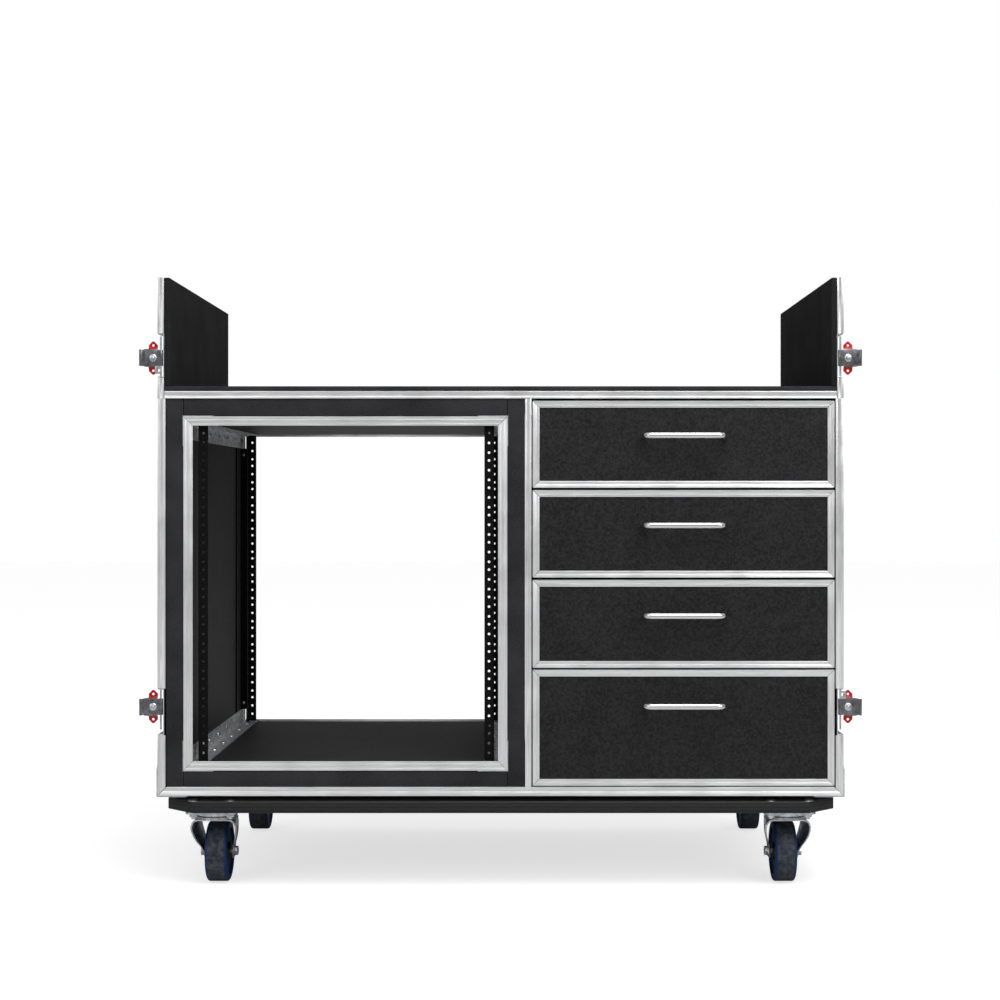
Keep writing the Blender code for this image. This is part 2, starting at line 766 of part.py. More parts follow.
def make_rack_rails(finish):
    """Make the four rack rails, two in front and two at the back."""
    middle_x = (EDGING_X[0] + EDGING_X[1]) / 2
    middle_z = (EDGING_Z[0] + EDGING_Z[1]) / 2
    for x_word, x_way in SIDES.items():
        for y_word, y, y_way in (("front", FRONT_RAIL_Y, 1), ("rear", REAR_RAIL_Y, -1)):
            rail = rack_rail(x_way, y_way)
            rail.data.transform(rail.matrix_world)
            rail.matrix_world = Matrix.Translation((middle_x, y, middle_z))
            as_part(rail, f"rack_rail_{y_word}_{x_word}", finish)


def bow_handle(x, z):
    """Return a bow handle of round rod that stands out from a drawer front."""
    root = DRAWER_PANEL_Y[0] - FIT
    reach = FRONT - HANDLE_REACH + HANDLE_ROD
    half = HANDLE_SPAN / 2
    left = arc((-half + HANDLE_BEND, reach + HANDLE_BEND), HANDLE_BEND, 180, 270, 4)
    right = arc((half - HANDLE_BEND, reach + HANDLE_BEND), HANDLE_BEND, 270, 360, 4)
    path = [(-half, root)] + left + right + [(half, root)]
    obj = curve_object("bow_handle", [[(px + x, py, z) for px, py in path]], False, "3D")
    obj.data.bevel_depth = HANDLE_ROD
    obj.data.bevel_resolution = 2
    obj.data.use_fill_caps = True
    return round_shading(mesh_from_curve(obj))


def make_drawer(number, low, high, ply_finish, edge_finish, handle_finish):
    """Make one drawer: its box with the front and the slide runners, its edging and its handle."""
    middle_x = (DRAWER_X[0] + DRAWER_X[1]) / 2
    carrier = bpy.data.objects.new(f"drawer_{number}_slide", None)
    carrier.location = (middle_x, FRONT, (low + high) / 2)
    parts.objects.link(carrier)
    box_z = (low + DRAWER_FLOOR_LIFT, high - DRAWER_HEADROOM)
    tray = box(
        (DRAWER_BOX_X[0], DRAWER_BOX_Y[0], box_z[0]), (DRAWER_BOX_X[1], DRAWER_BOX_Y[1], box_z[1])
    )
    inside = box(
        (DRAWER_BOX_X[0] + DRAWER_WALL, DRAWER_PANEL_Y[1], box_z[0] + DRAWER_FLOOR),
        (DRAWER_BOX_X[1] - DRAWER_WALL, DRAWER_BOX_Y[1] - DRAWER_WALL, high),
    )
    face_inset = THIN_SKIN + FIT
    face = box(
        (DRAWER_X[0] + face_inset, DRAWER_PANEL_Y[0], low + face_inset),
        (DRAWER_X[1] - face_inset, DRAWER_PANEL_Y[1], high - face_inset),
    )
    cut(tray, inside)
    join(tray, face)
    runner_z = slide_height(low, high)
    reach = SLIDE_THICK - SLIDE_WEB - FIT
    spans = (
        (DIVIDER_X[1] + SLIDE_THICK - reach, DRAWER_BOX_X[0] + OVERLAP),
        (DRAWER_BOX_X[1] - OVERLAP, PANEL_IN - SLIDE_THICK + reach),
    )
    for near, far in spans:
        runner = box(
            (near, SLIDE_Y[0], runner_z - SLIDE_RUNNER_HALF),
            (far, SLIDE_Y[1], runner_z + SLIDE_RUNNER_HALF),
        )
        join(tray, runner)
    edge_y = (FRONT, DRAWER_PANEL_Y[1])
    edging = edging_ring(DRAWER_X, edge_y, (low, high), DRAWER_EDGE_FACE, THIN_SKIN, True)
    as_part(tray, f"drawer_{number}_box", ply_finish)
    as_part(edging, f"drawer_{number}_edging", edge_finish)
    handle = as_part(bow_handle(middle_x, high - HANDLE_DROP), f"drawer_{number}_handle", handle_finish)
    for piece in (tray, edging, handle):
        piece.parent = carrier
        piece.matrix_parent_inverse = carrier.matrix_world.inverted()


def make_castor_board(finish):
    """Make the castor board with its spacers and the four castor top plates."""
    board = box((-BOARD_HALF, FRONT, BOARD_Z[0]), (BOARD_HALF, BACK, BOARD_Z[1]))
    shape = bmesh.new()
    shape.from_mesh(board.data)
    upright = [edge for edge in shape.edges if abs(edge.verts[0].co.z - edge.verts[1].co.z) > 0.001]
    bmesh.ops.bevel(shape, geom=upright, offset=BOARD_CHAMFER, segments=1, affect="EDGES")
    shape.to_mesh(board.data)
    shape.free()
    for x in SPACER_XS:
        spacer = box(
            (x - SPACER_HALF, FRONT + SPACER_INSET, BOARD_Z[1] - OVERLAP),
            (x + SPACER_HALF, BACK - SPACER_INSET, BASE_Z - FIT),
        )
        join(board, spacer)
    for x, y in castor_places().values():
        top_plate = box(
            (x - PLATE_HALF[0], y - PLATE_HALF[1], BOARD_Z[0] - PLATE_SHEET),
            (x + PLATE_HALF[0], y + PLATE_HALF[1], BOARD_Z[0] + OVERLAP),
        )
        race_height = RACE_Z[1] - RACE_Z[0]
        race = cylinder(RACE_RADIUS, race_height, (x, y, (RACE_Z[0] + RACE_Z[1]) / 2))
        join(board, top_plate, race)
    return as_part(board, "castor_board", finish)


def castor_places():
    """Return the place of each castor's swivel axis."""
    front = FRONT + CASTOR_INSET
    rear = BACK - CASTOR_INSET
    return {
        "front_left": (-CASTOR_X, front),
        "front_right": (CASTOR_X, front),
        "rear_left": (-CASTOR_X, rear),
        "rear_right": (CASTOR_X, rear),
    }


def fork_rows():
    """Return the rows of the pressed fork, from one axle end over the crown to the other.

    Each entry of the half section is the sheet's X, how far its front edge stands out and its
    back edge in from there, its Z, and the front and back of the sheet.
    """
    half = FORK_SECTION + ((0.0260, 0.0, FORK_CROWN_Z, -0.032, 0.032),)
    right = [
        ((x + toe, y0, z), (x, (y0 + y1) / 2, z), (x - toe, y1, z)) for x, toe, z, y0, y1 in half
    ]
    left = [tuple((-x, y, z) for x, y, z in row) for row in right]
    return left + right[::-1]


def fork_mesh():
    """Return the mesh of one castor fork about its swivel axis, with the axle bolt through it."""
    fork = bent_sheet("fork", fork_rows(), FORK_SHEET)
    race_z = (FORK_CROWN_Z - FORK_SHEET / 4, RACE_Z[0] - FIT)
    race = cylinder(FORK_RACE_RADIUS, race_z[1] - race_z[0], (0, 0, sum(race_z) / 2))
    axle = cylinder(AXLE_RADIUS, AXLE_LENGTH, (0, TRAIL, WHEEL_RADIUS), "X", 12)
    nuts = [
        cylinder(NUT_RADIUS, NUT_HEIGHT, (x, TRAIL, WHEEL_RADIUS), "X", 6) for x in (-NUT_AT, NUT_AT)
    ]
    join(fork, race, axle, *nuts)
    freeze(fork)
    return round_shading(fork)


def wheel_mesh():
    """Return one wheel about its axle: a tyre bonded on a hub with a boss and a bore."""
    outer = WHEEL_RADIUS / math.cos(math.pi / WHEEL_STEPS)
    half = WHEEL_HALF
    upper = [
        (AXLE_BORE, HUB_BOSS_HALF),
        (HUB_BOSS_RADIUS, HUB_BOSS_HALF),
        (HUB_BOSS_RADIUS + HUB_SLOPE, HUB_WEB_HALF),
        (TYRE_SEAT_RADIUS - HUB_SLOPE, HUB_WEB_HALF),
        (TYRE_SEAT_RADIUS, half),
        (WHEEL_RADIUS - TYRE_ROUND, half),
        (outer, half - TYRE_ROUND),
    ]
    lower = [(radius, -height) for radius, height in reversed(upper)]
    wheel = turned("wheel", upper + lower, WHEEL_STEPS)
    wheel.data.transform(Matrix.Rotation(math.pi / WHEEL_STEPS, 4, "Z"))
    wheel.data.transform(Matrix.Rotation(math.pi / 2, 4, "Y"))
    return round_shading(wheel)


def make_castors(fork_finish, wheel_finish):
    """Make the four swivel forks and their wheels from one fork and one wheel."""
    fork = fork_mesh()
    wheel = wheel_mesh()
    for word, (x, y) in castor_places().items():
        swivel = bpy.data.objects.new(f"castor_fork_{word}", fork.data.copy())
        bpy.context.scene.collection.objects.link(swivel)
        swivel.location = (x, y, 0.0)
        as_part(swivel, f"castor_fork_{word}", fork_finish)
        roller = bpy.data.objects.new(f"castor_wheel_{word}", wheel.data.copy())
        bpy.context.scene.collection.objects.link(roller)
        roller.parent = swivel
        roller.location = (0.0, TRAIL, WHEEL_RADIUS)
        as_part(roller, f"castor_wheel_{word}", wheel_finish)
    bpy.data.objects.remove(fork, do_unlink=True)
    bpy.data.objects.remove(wheel, do_unlink=True)


def latch_arm(with_eye):
    """Return one latch arm about its hinge pin, pointing along +X, its back towards +Y."""
    knuckle = arc((0.0, 0.0), KNUCKLE_RADIUS, 30, 270, 8)
    plate_y = -KNUCKLE_RADIUS
    hook = arc((ARM_REACH - HOOK_RADIUS, plate_y - HOOK_RADIUS), HOOK_RADIUS, 90, -70, 6)
    half = ARM_HEIGHT / 2
    narrow = KNUCKLE_HALF
    rows = [((x, y, -narrow), (x, y, narrow)) for x, y in knuckle + [(NECK[0], plate_y)]]
    rows += [((x, y, -half), (x, y, half)) for x, y in [(NECK[1], plate_y)] + hook]
    arm = bent_sheet("latch_arm", rows, ARM_SHEET)
    front = plate_y - ARM_SHEET / 2
    back = plate_y + ARM_SHEET / 2 + BUTTERFLY_SHEET + 2 * FIT
    stem = cylinder(
        RIVET_RADIUS, back - front + RIVET_HEAD_SHEET, (RIVET_OUT, (front + back) / 2, 0), "Y", 12
    )
    front_head = cylinder(
        RIVET_HEAD, RIVET_HEAD_SHEET, (RIVET_OUT, front - RIVET_HEAD_SHEET / 3, 0), "Y", 12
    )
    back_head = cylinder(
        RIVET_HEAD, RIVET_HEAD_SHEET, (RIVET_OUT, back + RIVET_HEAD_SHEET / 2, 0), "Y", 12
    )
    join(arm, stem, front_head, back_head)
    if with_eye:
        tab = box(
            (-LOCK_EYE_INSIDE, front, -half - LOCK_EYE),
            (LOCK_EYE_OUTSIDE, front + ARM_SHEET, -half + ARM_SHEET),
        )
        eye_at = ((LOCK_EYE_OUTSIDE - LOCK_EYE_INSIDE) / 2, plate_y, -half - LOCK_EYE / 2)
        eye = cylinder(LOCK_EYE_HOLE, LOCK_EYE, eye_at, "Y", 8)
        join(arm, freeze(cut(tab, eye)))
    return freeze(arm)


def butterfly():
    """Return one butterfly handle about its rivet: two ears with holes, bent back a little."""
    tip = arc((0.0, BUTTERFLY_EAR_AT), BUTTERFLY_HALF - BUTTERFLY_EAR_AT, 20, 160, 5)
    waist = [(-BUTTERFLY_WAIST, BUTTERFLY_WAIST), (-BUTTERFLY_SHOULDER, ARM_HEIGHT / 2)]
    upper = [(-x, y) for x, y in waist] + tip + list(reversed(waist))
    lower = [(-x, -y) for x, y in upper]
    outlines = [
        upper + lower,
        ring((0.0, 0.0), RIVET_RADIUS + FIT, 12),
        ring((0.0, BUTTERFLY_EAR_AT), BUTTERFLY_EAR_HOLE, 8),
        ring((0.0, -BUTTERFLY_EAR_AT), BUTTERFLY_EAR_HOLE, 8),
    ]
    blade = plate("butterfly", outlines, BUTTERFLY_SHEET)
    blade.data.transform(Matrix.Rotation(math.pi / 2, 4, "X"))
    for vertex in blade.data.vertices:
        if abs(vertex.co.z) > ARM_HEIGHT / 2 + FIT:
            vertex.co.y += BUTTERFLY_JOGGLE
    return blade


def make_latches(arm_finish, butterfly_finish):
    """Make the four latch dishes, arms and butterflies, the arms swung out to the sides."""
    blade_y = -KNUCKLE_RADIUS + ARM_SHEET / 2 + FIT + BUTTERFLY_SHEET / 2
    for word, side in SIDES.items():
        for level, height in LATCH_Z.items():
            make_latch_dish(level, word, side, arm_finish)
            lockable = (word, level) in (("left", "upper"), ("right", "lower"))
            arm = latch_arm(lockable)
            blade = butterfly()
            flip = Matrix.Scale(side, 4, Vector((1, 0, 0)))
            if level == "lower":
                flip = flip @ Matrix.Scale(-1, 4, Vector((0, 0, 1)))
            for piece in (arm, blade):
                piece.data.transform(piece.matrix_world)
                piece.matrix_world = Matrix.Identity(4)
                piece.data.transform(flip)
                turn_outward(piece)
            arm.location = (side * PIN_X, PIN_Y, height)
            blade.parent = arm
            blade.location = (side * RIVET_OUT, blade_y, 0.0)
            as_part(arm, f"latch_arm_{level}_{word}", arm_finish)
            as_part(blade, f"latch_butterfly_{level}_{word}", butterfly_finish)


def main():
    """Build the whole case."""
    clear_scene()
    make_collections()
    laminate = material("black_laminated_ply", (0.020, 0.020, 0.022), 0.55)
    foam = material("black_foam", (0.032, 0.032, 0.034), 0.95)
    aluminium = material("aluminium_extrusion", (0.78, 0.78, 0.80), 0.32, 1.0)
    zinc = material("zinc_plated_steel", (0.66, 0.67, 0.70), 0.30, 1.0)
    black_steel = material("black_steel", (0.006, 0.006, 0.007), 0.40, 0.6)
    stainless = material("stainless_rod", (0.80, 0.80, 0.81), 0.18, 1.0)
    red_paint = material("red_painted_steel", (0.62, 0.010, 0.010), 0.35)
    tyre = material("blue_elastic_tyre", (0.040, 0.060, 0.090), 0.60)
    for word, side in SIDES.items():
        make_side_panel(word, side, laminate)
        make_edge_trim(word, side, aluminium)
        make_middle_trim(word, side, aluminium)
    make_rails(aluminium)
    make_inner_panels(laminate)
    make_lining(foam)
    make_rack_sleeve(foam, laminate, aluminium)
    make_mount_angles(zinc)
    make_rack_rails(black_steel)
    for number, (low, high) in enumerate(DRAWER_FRONTS, start=1):
        make_drawer(number, low, high, laminate, aluminium, stainless)
    make_castor_board(laminate)
    make_castors(zinc, tyre)
    make_latches(zinc, red_paint)


main()
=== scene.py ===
"""Looks of a mixer flight case: foam-lined mixer well, foam-hung rack bay, drawers and castors.

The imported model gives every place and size. The classes below model the aluminium extrusions, the
foam, the castors, the latches and the fittings round it, and give each piece its finish.
"""

from __future__ import annotations

import json
import logging
import math
from collections.abc import Callable, Iterable, Iterator, Sequence
from contextlib import contextmanager
from dataclasses import dataclass, field
from enum import Enum

import bmesh
import bpy
from mathutils import Matrix, Vector

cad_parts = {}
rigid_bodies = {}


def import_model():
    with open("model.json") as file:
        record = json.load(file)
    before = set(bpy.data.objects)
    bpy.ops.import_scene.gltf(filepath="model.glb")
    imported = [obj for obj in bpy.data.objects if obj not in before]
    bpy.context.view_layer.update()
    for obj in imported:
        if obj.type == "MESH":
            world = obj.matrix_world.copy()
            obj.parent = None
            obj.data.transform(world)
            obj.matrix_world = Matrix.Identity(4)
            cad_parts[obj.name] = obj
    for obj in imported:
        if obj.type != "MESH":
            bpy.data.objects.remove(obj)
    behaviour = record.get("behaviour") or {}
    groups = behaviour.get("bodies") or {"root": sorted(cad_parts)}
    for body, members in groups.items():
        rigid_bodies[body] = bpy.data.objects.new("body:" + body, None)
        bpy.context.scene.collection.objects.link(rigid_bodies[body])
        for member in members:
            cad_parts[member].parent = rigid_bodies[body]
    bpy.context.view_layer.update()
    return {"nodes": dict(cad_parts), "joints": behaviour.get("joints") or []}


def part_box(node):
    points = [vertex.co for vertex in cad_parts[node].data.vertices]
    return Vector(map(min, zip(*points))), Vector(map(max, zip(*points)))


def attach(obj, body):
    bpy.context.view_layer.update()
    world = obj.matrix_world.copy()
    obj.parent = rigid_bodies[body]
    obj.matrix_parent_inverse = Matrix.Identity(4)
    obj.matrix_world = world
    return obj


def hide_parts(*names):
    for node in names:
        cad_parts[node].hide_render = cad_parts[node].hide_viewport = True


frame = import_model()

log = logging.getLogger("flight_case")

MM = 0.001
TINY = 1e-5
CASE = "case"
SIDES = {"left": -1, "right": 1}
LEVELS = {"lower": -1, "upper": 1}
ENDS = {"front": -1, "rear": 1}
JOINTS = {joint["name"]: joint for joint in frame["joints"]}


class Grain(Enum):
    """The world axis that a drawn surface is streaked along, or that a disc stands on."""

    X = 0
    Y = 1
    Z = 2


def low(node: str) -> Vector:
    """Return the lowest corner of a CAD node."""
    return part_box(node)[0]


def high(node: str) -> Vector:
    """Return the highest corner of a CAD node."""
    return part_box(node)[1]


def face_y(node: str, facing: int) -> float:
    """Return where a CAD node's front (-1) or back (1) face lies."""
    return low(node).y if facing < 0 else high(node).y


# Materials


def linear(hex_colour: str) -> tuple[float, float, float, float]:
    """Turn an sRGB hex colour, six digits after a hash sign, into linear RGBA with an alpha of one."""
    values = [int(hex_colour[i : i + 2], 16) / 255 for i in (1, 3, 5)]
    red, green, blue = (v / 12.92 if v <= 0.04045 else ((v + 0.055) / 1.055) ** 2.4 for v in values)
    return (red, green, blue, 1.0)


def grey(value: float) -> tuple[float, float, float, float]:
    """Return a linear grey."""
    return (value, value, value, 1.0)


def add_node(tree: bpy.types.NodeTree, kind: str, inputs: dict | None = None, **settings) -> bpy.types.Node:
    """Add a node with its settings, values and links.

    Args:
        tree: the node tree.
        kind: the node's type name.
        inputs: input names or numbers with a value or an output socket each.
        settings: attributes of the node.

    Returns:
        The new node.
    """
    made = tree.nodes.new(kind)
    for name, value in settings.items():
        setattr(made, name, value)
    for key, value in (inputs or {}).items():
        if isinstance(value, bpy.types.NodeSocket):
            tree.links.new(value, made.inputs[key])
        else:
            made.inputs[key].default_value = value
    return made


@dataclass
class Surface:
    """The node tree of a material or of the world, and the steps that its users share."""

    tree: bpy.types.NodeTree
    material: bpy.types.Material | None = None
    shader: bpy.types.Node | None = None

    @classmethod
    def named(cls, name: str) -> Surface:
        """Start a new material."""
        material = bpy.data.materials.new(name)
        material.use_nodes = True
        tree = material.node_tree
        return cls(tree, material, tree.nodes["Principled BSDF"])

    def place(self, scale: tuple = (1.0, 1.0, 1.0)) -> bpy.types.NodeSocket:
        """Return Object coordinates in metres, times a scale on each axis."""
        place = add_node(self.tree, "ShaderNodeTexCoord").outputs["Object"]
        return add_node(self.tree, "ShaderNodeMapping", {"Vector": place, "Scale": scale}).outputs["Vector"]

    def noise(
        self, feature: float, detail: float = 3.0, scale: tuple = (1.0, 1.0, 1.0)
    ) -> bpy.types.NodeSocket:
        """Return a noise whose blotches are about one feature across, in metres."""
        settings = {"Vector": self.place(scale), "Scale": 1.0 / feature, "Detail": detail, "Roughness": 0.55}
        return add_node(self.tree, "ShaderNodeTexNoise", settings).outputs["Fac"]

    def calc(self, operation: str, *values: float | bpy.types.NodeSocket) -> bpy.types.NodeSocket:
        """Return the result of a maths node."""
        return add_node(self.tree, "ShaderNodeMath", dict(enumerate(values)), operation=operation).outputs[0]

    def apart(self, vector: bpy.types.NodeSocket) -> bpy.types.NodeOutputs:
        """Return the X, Y and Z of a vector."""
        return add_node(self.tree, "ShaderNodeSeparateXYZ", {"Vector": vector}).outputs

    def mix(self, factor: bpy.types.NodeSocket, first, second) -> bpy.types.NodeSocket:
        """Return a mix of two colours or colour sockets."""
        inputs = {"Factor": factor, "A": first, "B": second}
        return add_node(self.tree, "ShaderNodeMix", inputs, data_type="RGBA").outputs["Result"]

    def ramp(self, source: bpy.types.NodeSocket, *stops: tuple) -> bpy.types.NodeSocket:
        """Return a ramp between two stops, each a place with a hex colour or a grey value."""
        made = add_node(self.tree, "ShaderNodeValToRGB", {"Fac": source})
        for element, (place, value) in zip(made.color_ramp.elements, stops):
            element.position = place
            element.color = linear(value) if isinstance(value, str) else grey(value)
        return made.outputs["Color"]

    def link(self, name: str, source: bpy.types.NodeSocket) -> None:
        """Drive one of the shader's inputs."""
        self.tree.links.new(source, self.shader.inputs[name])

    def tint(self, source: bpy.types.NodeSocket, *stops: tuple) -> None:
        """Drive the base colour by a ramp."""
        self.link("Base Color", self.ramp(source, *stops))

    def gloss(self, source: bpy.types.NodeSocket, *stops: tuple) -> None:
        """Drive the roughness by a ramp."""
        self.link("Roughness", self.ramp(source, *stops))

    def bump(self, height: bpy.types.NodeSocket, depth: float, strength: float) -> None:
        """Bump the surface by a height field of a real depth in metres."""
        inputs = {"Height": height, "Distance": depth, "Strength": strength}
        self.link("Normal", add_node(self.tree, "ShaderNodeBump", inputs).outputs["Normal"])

    def constants(self, roughness: float | None = None, specular: float | None = None, **others) -> None:
        """Set values that are the same all over on the shader's own sockets."""
        values = {"Roughness": roughness, "Specular IOR Level": specular}
        values |= {name.replace("_", " ").title(): value for name, value in others.items()}
        for name, value in values.items():
            if value is not None:
                self.shader.inputs[name].default_value = value


@dataclass(frozen=True)
class PebbleLaminate:
    """Black ABS-faced birch plywood, roller-embossed with a pebble grain that scatters highlights."""

    name: str = "pebble_grain_laminate"
    dark: str = "#09090a"
    light: str = "#242426"
    pebble: float = 2.4 * MM
    relief: float = 0.30 * MM
    roughness: float = 0.55

    def material(self) -> bpy.types.Material:
        """Return the laminate; real pebbles are 1.5 mm across and are drawn a little coarser, and light
        specks in its colour are painted glints of the grain.
        """
        made = Surface.named(self.name)
        painted_glint_speck = made.noise(3.4 * MM, 2.0)
        tone_and_painted_glint = made.calc("MULTIPLY_ADD", made.noise(60 * MM), 0.25, painted_glint_speck)
        # The fine light specks in the base colour are painted glints of the pebble grain; the 60 mm blotches
        # mixed in are tone that differs at random.
        made.tint(tone_and_painted_glint, (0.46, self.dark), (0.80, self.light))
        made.gloss(painted_glint_speck, (0.3, self.roughness - 0.07), (0.7, self.roughness + 0.08))
        made.constants(specular=0.22)
        grain = {"Vector": made.place(), "Scale": 1.0 / self.pebble}
        cells = add_node(made.tree, "ShaderNodeTexVoronoi", grain, feature="SMOOTH_F1")
        made.bump(cells.outputs["Distance"], self.relief, 0.8)
        return made.material


@dataclass(frozen=True)
class BirchPlywood:
    """Black-stained birch plywood with a phenolic film, drawn lighter than it is as painted light for its top
    in the shaded gap under the case; the sawn edge shows its plies as thin bands.
    """

    name: str = "stained_birch_board"
    painted_lit_film: str = "#4c4c4d"
    ply_dark: str = "#131314"
    ply_light: str = "#262626"
    ply: float = 1.5 * MM

    def material(self) -> bpy.types.Material:
        """Return the board; each 1.5 mm ply is a band in height with streaks along the board."""
        made = Surface.named(self.name)
        grain = made.noise(14 * MM, 4.0, (1.0, 1.0, 12.0))
        layer = made.calc("MULTIPLY", made.apart(made.place())["Z"], 1.0 / (2 * self.ply))
        both = made.calc("MULTIPLY_ADD", made.calc("PINGPONG", layer, 1.0), 0.6, grain)
        edge = made.ramp(both, (0.4, self.ply_dark), (1.0, self.ply_light))
        normal = add_node(made.tree, "ShaderNodeNewGeometry").outputs["Normal"]
        flat = made.calc("ABSOLUTE", made.apart(normal)["Z"])
        # The flat faces take the film colour, made lighter than the real film: painted light for the board's
        # top in the shaded gap under the case.
        made.link("Base Color", made.mix(made.ramp(flat, (0.4, 0.0), (0.8, 1.0)), edge, linear(self.painted_lit_film)))
        made.constants(roughness=0.55, specular=0.25)
        made.bump(grain, 0.12 * MM, 0.6)
        return made.material


@dataclass(frozen=True)
class ExtrudedAluminium:
    """Mill-finish aluminium extrusion, drawn through a die, so its satin face has fine long streaks."""

    grain: Grain
    name: str = "extruded_aluminium"
    dull: str = "#d8d9da"
    bright: str = "#f6f6f6"
    roughness: float = 0.38
    streak: float = 0.9 * MM

    def material(self) -> bpy.types.Material:
        """Return the metal with its streaks along the grain and a few handling smears."""
        made = Surface.named(f"{self.name}_{self.grain.name.lower()}")
        scale = tuple(0.012 if axis is self.grain else 1.0 for axis in Grain)
        streaks = made.noise(self.streak, 2.0, scale)
        made.tint(streaks, (0.3, self.dull), (0.7, self.bright))
        made.gloss(made.noise(35 * MM, 4.0), (0.3, self.roughness - 0.08), (0.7, self.roughness + 0.10))
        made.constants(metallic=1.0)
        made.bump(streaks, 0.02 * MM, 0.3)
        return made.material


@dataclass(frozen=True)
class ZincPlate:
    """Bright zinc-plated pressed steel: a bluish mirror clouded by fine spangle and handling."""

    name: str = "bright_zinc_plate"
    dull: str = "#9da1a6"
    bright: str = "#d6dadd"
    roughness: float = 0.26

    def material(self) -> bpy.types.Material:
        """Return the plating with its clouds and its slight orange peel."""
        made = Surface.named(self.name)
        clouds = made.noise(9 * MM, 4.0)
        made.tint(clouds, (0.3, self.dull), (0.65, self.bright))
        made.gloss(clouds, (0.3, self.roughness + 0.12), (0.7, self.roughness))
        made.constants(metallic=1.0)
        made.bump(made.noise(2.5 * MM, 2.0), 0.05 * MM, 0.4)
        return made.material


@dataclass(frozen=True)
class PolishedStainless:
    """Polished stainless rod: a clean mirror with faint lengthwise polishing lines."""

    name: str = "polished_stainless"
    colour: str = "#dcdcdc"
    roughness: float = 0.13

    def material(self) -> bpy.types.Material:
        """Return the polished rod."""
        made = Surface.named(self.name)
        lines = made.noise(0.8 * MM, 2.0, (0.02, 1.0, 1.0))
        made.gloss(lines, (0.3, self.roughness), (0.7, self.roughness + 0.07))
        made.constants(base_color=linear(self.colour), metallic=1.0)
        return made.material


@dataclass(frozen=True)
class PowderCoat:
    """Black powder-coated steel: a fine orange peel with a soft sheen."""

    name: str = "black_powder_coat"
    colour: str = "#030304"
    rubbed: str = "#0a0a0b"
    peel: float = 1.6 * MM

    def material(self) -> bpy.types.Material:
        """Return the coating."""
        made = Surface.named(self.name)
        made.tint(made.noise(22 * MM, 5.0), (0.45, self.colour), (0.8, self.rubbed))
        made.constants(roughness=0.5, specular=0.12)
        made.bump(made.noise(self.peel, 2.0), 0.06 * MM, 0.5)
        return made.material


@dataclass(frozen=True)
class EnamelPaint:
    """Red enamel over pressed steel: a wet gloss, thinner and darker where it is handled."""

    name: str = "red_enamel"
    colour: str = "#b80206"
    shade: str = "#8a0103"

    def material(self) -> bpy.types.Material:
        """Return the enamel."""
        made = Surface.named(self.name)
        made.tint(made.noise(7 * MM), (0.3, self.shade), (0.55, self.colour))
        made.constants(roughness=0.28, specular=0.3, coat_weight=0.1, coat_roughness=0.12)
        return made.material


@dataclass(frozen=True)
class EvaFoam:
    """Skived closed-cell EVA foam: a dry, matt, finely open-pored face with dusty blotches."""

    name: str = "eva_foam"
    dark: str = "#1c1c1d"
    light: str = "#37373a"
    pore: float = 1.8 * MM
    relief: float = 0.45 * MM

    def material(self) -> bpy.types.Material:
        """Return the foam; its 0.5 mm pores are drawn larger so that they show."""
        made = Surface.named(self.name)
        pores = made.noise(self.pore)
        dusted = made.calc("MULTIPLY_ADD", made.noise(70 * MM, 4.0), 0.6, pores)
        made.tint(dusted, (0.55, self.dark), (1.0, self.light))
        made.constants(roughness=0.95, specular=0.08)
        made.bump(pores, self.relief, 0.6)
        return made.material


@dataclass(frozen=True)
class ElasticRubber:
    """Cast elastic rubber of a castor tyre: matt, dusted with floor dirt where it rolls."""

    name: str
    clean: str
    dusty: str
    roughness: float = 0.62

    def material(self) -> bpy.types.Material:
        """Return the rubber with its dirt and scuffs."""
        made = Surface.named(self.name)
        made.tint(made.noise(8 * MM, 5.0), (0.35, self.clean), (0.68, self.dusty))
        made.constants(roughness=self.roughness, specular=0.3)
        made.bump(made.noise(1.5 * MM, 2.0), 0.15 * MM, 0.5)
        return made.material


@dataclass(frozen=True)
class MouldedNylon:
    """Black moulded nylon of the wheel hubs: even, with a dull sheen and fine mould texture."""

    name: str = "moulded_nylon"
    dark: str = "#080809"
    light: str = "#161617"

    def material(self) -> bpy.types.Material:
        """Return the nylon."""
        made = Surface.named(self.name)
        grit = made.noise(1.2 * MM, 2.0)
        made.tint(grit, (0.2, self.dark), (0.8, self.light))
        made.constants(roughness=0.5)
        made.bump(grit, 0.05 * MM, 0.5)
        return made.material


def settle(obj: bpy.types.Object, body: str) -> None:
    """Attach a piece that has its materials to the body that it rides on."""
    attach(obj, body)
    log.info("%s: %d faces on %s", obj.name, len(obj.data.polygons), body)


